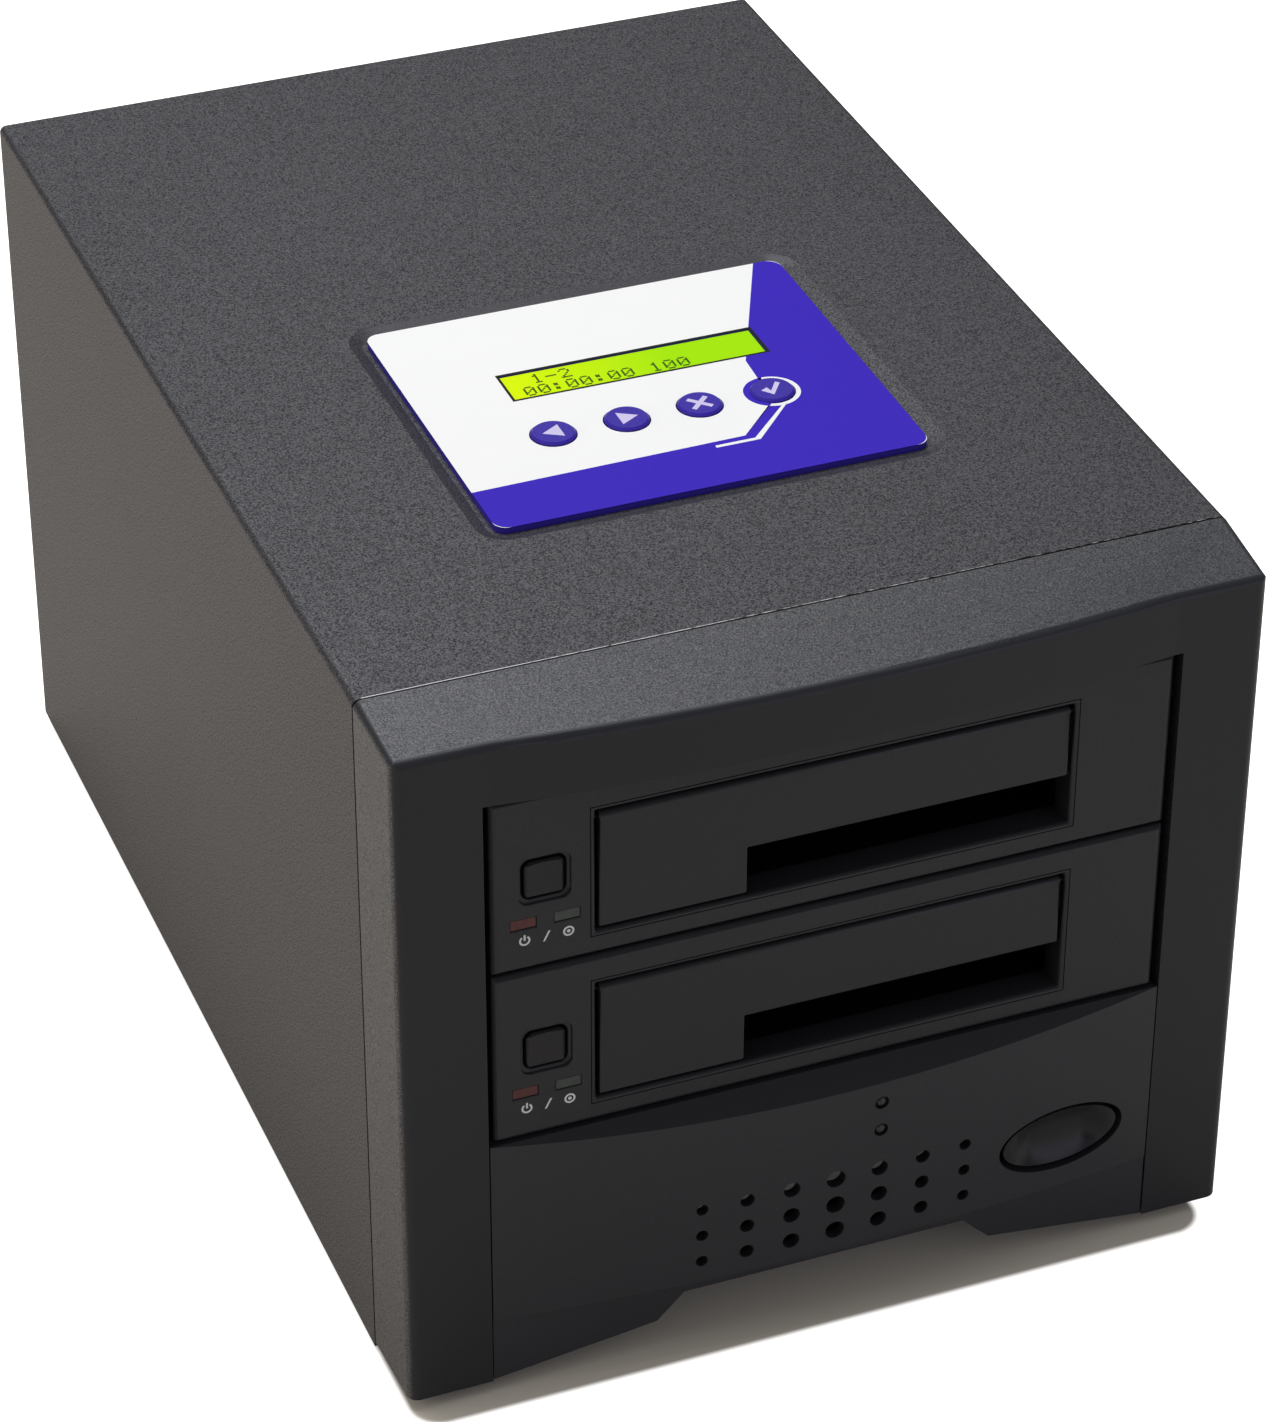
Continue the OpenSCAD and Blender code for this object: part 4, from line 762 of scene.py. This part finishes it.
@dataclass
class DriveBay:
    """One trayless drive bay: plate, door, eject button, lamps and the marks under them."""

    bay: Bay
    mark_r_mm: float = 1.2
    mark_x_mm: float = -62.4
    mark_z_mm: float = 7.35
    mark_gap_mm: float = 4.65
    slash_lean_mm: float = 0.6
    hub_mm: float = 0.4
    ink_mm: float = 0.03
    line_mm: float = 0.42
    ring_deg: Span = (125.0, 415.0)
    ring_steps: int = 28
    edge_mm: float = 0.35
    groove_shade_mm: Span = (1.75, 1.98)

    def node(self, piece: str) -> str:
        """Gives the name of one of the bay's nodes."""
        return f"{self.bay.value}_bay_{piece}"

    def dress(self) -> None:
        """Gives the bay's nodes their finishes."""
        finishes = {"plate": BAY_ABS, "door": DOOR_ABS, "eject_button": BUTTON_ABS, "housing": HOUSING_ABS,
                    "push_rod": HOUSING_ABS, "eject_lever": HOUSING_ABS, "hinge_pin": PIN_STEEL,
                    "door_spring": SPRING_WIRE, "eject_spring": SPRING_WIRE, "power_lamp": RED_LENS,
                    "access_lamp": GREEN_LENS, "backplane": BOARD, "connector": BLACK_PLASTIC}
        for piece, finish in finishes.items():
            dress(finish, self.node(piece))
        soften(self.edge_mm, self.node("plate"), self.node("door"))

    def build(self) -> None:
        """Pad-prints a power sign and a disc sign under the two lamps, and paints a fine dark line round the door
        as the shade of a groove.
        """
        low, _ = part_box(self.node("plate"))
        face = Matrix.Translation((0, low.y, low.z)) @ Matrix.Rotation(math.radians(90), 4, "X")
        r = self.mark_r_mm
        w = self.line_mm / 2
        x = self.mark_x_mm
        left = x - self.mark_gap_mm
        right = x + self.mark_gap_mm
        z = self.mark_z_mm
        lean = self.slash_lean_mm
        n = self.ring_steps
        ring = [*arc(left, z, r, *self.ring_deg, n), *arc(left, z, r - 2 * w, *reversed(self.ring_deg), n)]
        bar = rectangle(left - w, z, left + w, z + r + w)
        slash = [(x - lean - w, z - r), (x - lean + w, z - r), (x + lean + w, z + r), (x + lean - w, z + r)]
        disc = [circle(right, z, r), circle(right, z, r - 2 * w), circle(right, z, self.hub_mm)]
        flat_piece(f"{self.bay.value}_bay_marks", [ring, bar, slash, *disc], self.ink_mm, face, MARK_WHITE)
        # Painted shade: a thin dark flat line, not a cut, stands for the shade in a groove round the door.
        near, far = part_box(self.node("door"))
        groove_shade = []
        for out in self.groove_shade_mm:
            x0, x1 = near.x / MM - out, far.x / MM + out
            z0, z1 = (near.z - low.z) / MM - out, (far.z - low.z) / MM + out
            groove_shade.append(rectangle(x0, z0, x1, z1))
        flat_piece(f"{self.bay.value}_bay_door_groove_shade", groove_shade, self.ink_mm, face, HOUSING_ABS)


@dataclass
class ControlPanel:
    """The lid's control panel: printed film, display and four keys."""

    ink_mm: float = 0.03
    band_back_mm: float = 43.0
    band_waist_mm: Span = (25.0, 3.0)
    band_elbow_mm: Span = (24.0, -15.0)
    band_knee_mm: Span = (13.0, -26.0)
    band_left_mm: float = -27.0
    corner_mm: float = 3.5
    stripe_mm: float = 0.9
    stripe_gap_mm: float = 1.6
    stripe_run: float = 3.0
    ring_mm: float = 1.3
    border_mm: float = 0.8
    border_gap_mm: float = 0.2
    lens_face_mm: float = 0.1
    dot_w_mm: float = 0.46
    dot_h_mm: float = 0.5
    dot_pitch: float = 1.1
    cell_w_mm: float = 3.2
    cell_h_mm: float = 4.6
    text_in_mm: Span = (3.0, 0.9)
    sign_mm: float = 2.5
    stroke_mm: float = 0.8
    arrow_share: float = 0.7
    tick_foot_mm: Span = (-0.5, -0.8)
    sign_sink: float = 0.95
    key_r_mm: float = 4.9
    middle: Vector = field(default_factory=Vector)
    half: Span = (0.0, 0.0)
    top: Matrix = field(default_factory=Matrix)
    window: tuple[float, float, float, float] = (0.0, 0.0, 0.0, 0.0)

    def dress(self) -> None:
        """Gives the panel's nodes their finishes."""
        dress(PLATE_ABS, "control_panel")
        dress(FILM_WHITE, "panel_film")
        dress(BLACK_PLASTIC, "lcd_frame", "key_switches")
        dress(LCD_LIT, "lcd_glass")
        dress(KEY_ABS, "back_key", "next_key", "cancel_key", "enter_key")
        dress(BOARD, "control_board")
        dress(SCREW_STEEL, "board_standoffs")

    def build(self) -> None:
        """Adds the printed band, the painted shade round the display, its dots, and the signs on the keys."""
        low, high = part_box("panel_film")
        self.middle = (low + high) / 2
        self.half = ((high.x - low.x) / 2 / MM, (high.y - low.y) / 2 / MM)
        self.top = Matrix.Translation((self.middle.x, self.middle.y, high.z))
        self.window = self.display_window()
        self.band()
        self.border()
        self.dots()
        self.key_signs()

    def display_window(self) -> tuple[float, float, float, float]:
        """Finds the window in the film from the display's lens.

        Returns:
            Left, front, right and back of the lens from the panel's middle, in millimetres.
        """
        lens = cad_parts["lcd_glass"].data
        top = max(v.co.z for v in lens.vertices)
        face = [v.co - self.middle for v in lens.vertices if top - v.co.z < self.lens_face_mm * MM]
        return (min(v.x for v in face) / MM, min(v.y for v in face) / MM, max(v.x for v in face) / MM,
                max(v.y for v in face) / MM)

    def key_place(self, node: str) -> tuple[float, float]:
        """Gives a key's middle over the panel, in millimetres."""
        low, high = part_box(node)
        return ((low.x + high.x) / 2 - self.middle.x) / MM, ((low.y + high.y) / 2 - self.middle.y) / MM

    def band(self) -> None:
        """Prints the violet band along the right and front edges, with a white line beside its slanted edge."""
        w, d = self.half
        c = self.corner_mm
        left, front, right, back = self.window
        m = self.border_mm
        waist, elbow, knee = self.band_waist_mm, self.band_elbow_mm, self.band_knee_mm
        slope = (self.band_back_mm - waist[0]) / (d - waist[1])
        enter = waist[0] + slope * (back + m - waist[1])
        leave = waist[0] + slope * (front - m - waist[1])
        inner = [(self.band_back_mm, d), (enter, back + m), (right + m, back + m), (right + m, front - m),
                 (leave, front - m), waist, elbow, knee, (-w, self.band_left_mm)]
        outer = [*arc(c - w, c - d, c, 180, 270), *arc(w - c, c - d, c, 270, 360), *arc(w - c, d - c, c, 0, 90)]
        kx, ky = self.key_place("enter_key")
        hole = circle(kx, ky, self.key_r_mm + self.ring_mm)
        flat_piece("panel_band", [[*inner, *outer], hole], self.ink_mm, self.top, FILM_VIOLET)
        g = self.stripe_gap_mm
        t = g + self.stripe_mm
        end = knee[0] - self.stripe_run * t
        stripe = [(elbow[0] + g, elbow[1] - g), (elbow[0] + t, elbow[1] - g), (knee[0] + t, knee[1] - t),
                  (end, knee[1] - t), (end, knee[1] - g), (knee[0] + g, knee[1] - g)]
        raised = self.top @ Matrix.Translation((0, 0, self.ink_mm * MM))
        flat_piece("panel_pinstripe", [stripe], self.ink_mm / 2, raised, LINE_WHITE)

    def border(self) -> None:
        """Paints shade round the display window: a dark border on the film in place of the shade of its recess."""
        left, front, right, back = self.window
        loops = [rectangle(left - m, front - m, right + m, back + m) for m in (self.border_mm, self.border_gap_mm)]
        flat_piece("display_window_shade", loops, self.ink_mm, self.top, WINDOW_SHADE_INK)

    def dots(self) -> None:
        """Sets the display's dots: a counter and a row of figures, of plain numbers."""
        shapes = {
            "0": ("01110", "10001", "10011", "10101", "11001", "10001", "01110"),
            "1": ("00100", "01100", "00100", "00100", "00100", "00100", "01110"),
            "2": ("01110", "10001", "00001", "00010", "00100", "01000", "11111"),
            ":": ("00000", "01100", "01100", "00000", "01100", "01100", "00000"),
            "-": ("00000", "00000", "00000", "11111", "00000", "00000", "00000"),
        }
        left, _, _, back = self.window
        w, h = self.dot_w_mm, self.dot_h_mm
        loops = []
        for row, line in enumerate((" 1-2", "00:00:00 100")):
            for column, sign in enumerate(line):
                for j, bits in enumerate(shapes.get(sign, ())):
                    for i in (n for n, bit in enumerate(bits) if bit == "1"):
                        x = left + self.text_in_mm[0] + column * self.cell_w_mm + i * w * self.dot_pitch
                        y = back - self.text_in_mm[1] - row * self.cell_h_mm - j * h * self.dot_pitch
                        loops.append([(x, y), (x, y - h), (x + w, y - h), (x + w, y)])
        _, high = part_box("lcd_glass")
        place = Matrix.Translation((self.middle.x, self.middle.y, high.z))
        flat_piece("display_dots", loops, self.ink_mm, place, LCD_DOT)

    def key_signs(self) -> None:
        """Prints an arrow, a second arrow, a cross and a tick on the four keys."""
        s = self.sign_mm
        t = self.stroke_mm
        tail = s * self.arrow_share
        foot = self.tick_foot_mm
        cross = [(-s, -s + t), (-s + t, -s), (0, -t), (s - t, -s), (s, -s + t), (t, 0), (s, s - t), (s - t, s),
                 (0, t), (-s + t, s), (-s, s - t), (-t, 0)]
        tick = [(-s, 0), (-s + 2 * t, t), foot, (s - t, s), (s, s - t), (foot[0], -s)]
        signs = {
            Body.BACK_KEY: [(-s, 0), (tail, -s), (tail, s)],
            Body.NEXT_KEY: [(s, 0), (-tail, s), (-tail, -s)],
            Body.CANCEL_KEY: cross,
            Body.ENTER_KEY: tick,
        }
        for body, loop in signs.items():
            low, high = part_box(body.value)
            middle = (low + high) / 2
            place = Matrix.Translation((middle.x, middle.y, high.z - self.sign_sink * self.ink_mm * MM))
            flat_piece(f"{body.value}_sign", [loop], self.ink_mm, place, KEY_WHITE, body)


@dataclass
class Rear:
    """The power supply, its inlet and the fans."""

    def dress(self) -> None:
        """Gives the rear's nodes their finishes."""
        dress(ZINC_SHEET, "power_supply")
        dress(BLACK_PLASTIC, "mains_inlet", "case_fan_frame", "supply_fan_frame")
        dress(HOUSING_ABS, "case_fan_rotor", "supply_fan_rotor")
        dress(PIN_BRASS, "inlet_pins")


@dataclass(frozen=True)
class Lamp:
    """A square soft lamp that faces the machine."""

    name: str
    place: Point
    size: float
    power: float
    tint: str = "#ffffff"
    aim: Point = (0.0, 0.0, 0.08)

    def build(self) -> None:
        """Hangs the lamp in the scene."""
        data = bpy.data.lights.new(self.name, "AREA")
        data.shape = "SQUARE"
        data.size = self.size
        data.energy = self.power
        data.color = linear(self.tint)[:3]
        lamp = bpy.data.objects.new(self.name, data)
        lamp.location = self.place
        lamp.rotation_euler = (Vector(self.place) - Vector(self.aim)).to_track_quat("Z", "Y").to_euler()
        bpy.context.scene.collection.objects.link(lamp)


@dataclass
class Studio:
    """Camera, soft lamps, pale floor and white backdrop."""

    place: Point = (-0.33237, -0.87662, 0.70030)
    azimuth: float = -21.35
    elevation: float = 34.03
    roll: float = 0.11
    focal_px: float = 4938.6
    image_h: int = 1422
    sensor_mm: float = 36.0
    clip_start: float = 0.01
    floor_size: float = 9.0
    floor_colour: str = "#efe7db"
    floor_bounce: str = "#a8a39b"
    ambient: tuple[float, float, float, float] = (0.27, 0.27, 0.265, 1.0)
    strip_low: Span = (-0.0870, -0.1370)
    strip_high: Span = (0.0820, 0.1370)
    strip_round: float = 0.0060
    strip_edge: float = 0.0020
    room: float = 0.1
    sheet_left: Span = (-0.40, -0.05)
    sheet_right: Span = (0.20, 0.52)
    sheet_fade: float = 0.10
    sheet_front: Span = (0.10, 0.65)
    sheet_back: Span = (0.79, 0.90)
    sheet_dim: float = 0.34
    lamps: tuple[Lamp, ...] = (
        Lamp("top_softbox", (-0.10, 0.35, 1.50), 1.0, 17.0, "#f7f8ff"),
        Lamp("left_fill", (-0.9, -0.1, 0.55), 0.5, 1.2, "#fff6ea"),
        Lamp("front_fill", (0.55, -1.10, 0.25), 0.6, 1.5, "#e4e6ff", (0.05, -0.14, 0.05)),
    )

    def camera(self) -> None:
        """Sets up the camera at the photograph's place and angle."""
        az, el, roll = (math.radians(v) for v in (self.azimuth, self.elevation, self.roll))
        back = Vector((math.sin(az) * math.cos(el), -math.cos(az) * math.cos(el), math.sin(el)))
        right = Vector((math.cos(az), math.sin(az), 0.0))
        up = back.cross(right)
        turned = math.cos(roll) * right + math.sin(roll) * up
        raised = math.cos(roll) * up - math.sin(roll) * right
        data = bpy.data.cameras.new("camera")
        data.sensor_width = self.sensor_mm
        data.lens = self.focal_px * self.sensor_mm / self.image_h
        data.clip_start = self.clip_start
        camera = bpy.data.objects.new("camera", data)
        axes = Matrix((turned, raised, back)).transposed().to_4x4()
        camera.matrix_world = Matrix.Translation(self.place) @ axes
        bpy.context.scene.collection.objects.link(camera)
        bpy.context.scene.camera = camera

    def seen(self, graph: Graph, ray: Mapping[str, Socket]) -> Socket:
        """Tells rays that show the background from rays that light the machine.

        Args:
            graph: Nodes of the floor or the world.
            ray: Outputs of its Light Path node.

        Returns:
            Socket that is 1 for camera, glossy and transmission rays.
        """
        first = graph.add("Math", (ray["Is Camera Ray"], ray["Is Glossy Ray"]), operation="MAXIMUM")
        return graph.add("Math", (first, ray["Is Transmission Ray"]), operation="MAXIMUM")

    def beyond(self, graph: Graph) -> Socket:
        """Tells the open floor from the strip of shadow that the machine stands in.

        Args:
            graph: Nodes of the floor.

        Returns:
            Socket that rises from 0 in the strip to 1 on the open floor.
        """
        axes = graph.add("SeparateXYZ", (graph.add("TexCoord", {}, "Object"),)).node.outputs
        outside = []
        for axis, low, high in zip("XY", self.strip_low, self.strip_high):
            offset = graph.add("Math", (axes[axis], (low + high) / 2), operation="SUBTRACT")
            reach = graph.add("Math", (offset,), operation="ABSOLUTE")
            past = graph.add("Math", (reach, (high - low) / 2), operation="SUBTRACT")
            outside.append(graph.add("Math", (past, 0.0), operation="MAXIMUM"))
        length = graph.add("VectorMath", (graph.add("CombineXYZ", outside),), "Value", operation="LENGTH")
        return graph.add("MapRange", (length, self.strip_round, self.strip_round + self.strip_edge, 0.0, 1.0),
                         interpolation_type="SMOOTHSTEP")

    def floor(self) -> None:
        """Lays a pale paper floor that shows white past the machine's shadow."""
        mesh = bpy.data.meshes.new("floor")
        half = self.floor_size / 2
        corners = [(-half, -half, 0), (half, -half, 0), (half, half, 0), (-half, half, 0)]
        mesh.from_pydata(corners, [], [(0, 1, 2, 3)])
        floor = bpy.data.objects.new("floor", mesh)
        bpy.context.scene.collection.objects.link(floor)
        material = bpy.data.materials.new("pale_paper_floor")
        material.use_nodes = True
        graph = Graph(material.node_tree)
        ray = graph.add("LightPath", {}).node.outputs
        colour = graph.add("Mix", {0: self.seen(graph, ray), 6: linear(self.floor_bounce),
                                   7: linear(self.floor_colour)}, **RGBA)
        matt = graph.add("BsdfDiffuse", {"Color": colour})
        # Painted light: the camera sees the floor lifted to white outside the strip, so the shadow ends at the
        # strip's edge.
        lift = graph.add("Math", (ray["Is Camera Ray"], self.beyond(graph)), operation="MULTIPLY")
        glow = graph.add("Emission", {"Color": WHITE, "Strength": lift})
        graph.add("OutputMaterial", {"Surface": graph.add("AddShader", (matt, glow))})
        mesh.materials.append(material)

    def world(self) -> None:
        """Makes the backdrop white to the eye, a white sheet behind in gloss, and a warm grey as a light."""
        world = bpy.data.worlds.new("backdrop")
        world.use_nodes = True
        graph = Graph(world.node_tree)
        ray = graph.add("LightPath", {}).node.outputs
        seen = self.seen(graph, ray)
        way = graph.add("SeparateXYZ", (graph.add("TexCoord", {}, "Generated"),)).node.outputs
        left = graph.add("MapRange", (way["X"], *self.sheet_left, self.room, 1.0))
        right = graph.add("MapRange", (way["X"], *self.sheet_right, 1.0, self.sheet_fade))
        front = graph.add("MapRange", (way["Y"], *self.sheet_front, self.room, 1.0))
        back = graph.add("MapRange", (way["Y"], *self.sheet_back, 1.0, self.sheet_dim))
        sides = graph.add("Math", (left, right), operation="MINIMUM")
        sheet = graph.add("Math", (sides, front), operation="MINIMUM")
        dimmed = graph.add("Math", (sheet, back), operation="MULTIPLY")
        shown = graph.add("Math", (dimmed, ray["Is Camera Ray"]), operation="MAXIMUM")
        colour = graph.add("Mix", {0: seen, 6: self.ambient, 7: WHITE}, **RGBA)
        level = graph.add("Mix", {0: seen, 2: 1.0, 3: shown}, data_type="FLOAT")
        sky = graph.add("Background", {"Color": colour, "Strength": level})
        graph.add("OutputWorld", {"Surface": sky})
        bpy.context.scene.world = world

    def build(self) -> None:
        """Sets up the whole studio."""
        self.camera()
        self.floor()
        self.world()
        for lamp in self.lamps:
            lamp.build()
        bpy.context.scene.view_settings.view_transform = "Standard"


def main() -> None:
    """Builds and dresses the whole machine and its studio."""
    logging.basicConfig(level=logging.INFO, format="%(name)s: %(message)s")
    Studio().build()
    case = Case()
    case.dress()
    case.build()
    PowerButton().build()
    for bay in Bay:
        one = DriveBay(bay)
        one.dress()
        one.build()
    panel = ControlPanel()
    panel.dress()
    panel.build()
    Rear().dress()


if __name__ == "__main__":
    main()
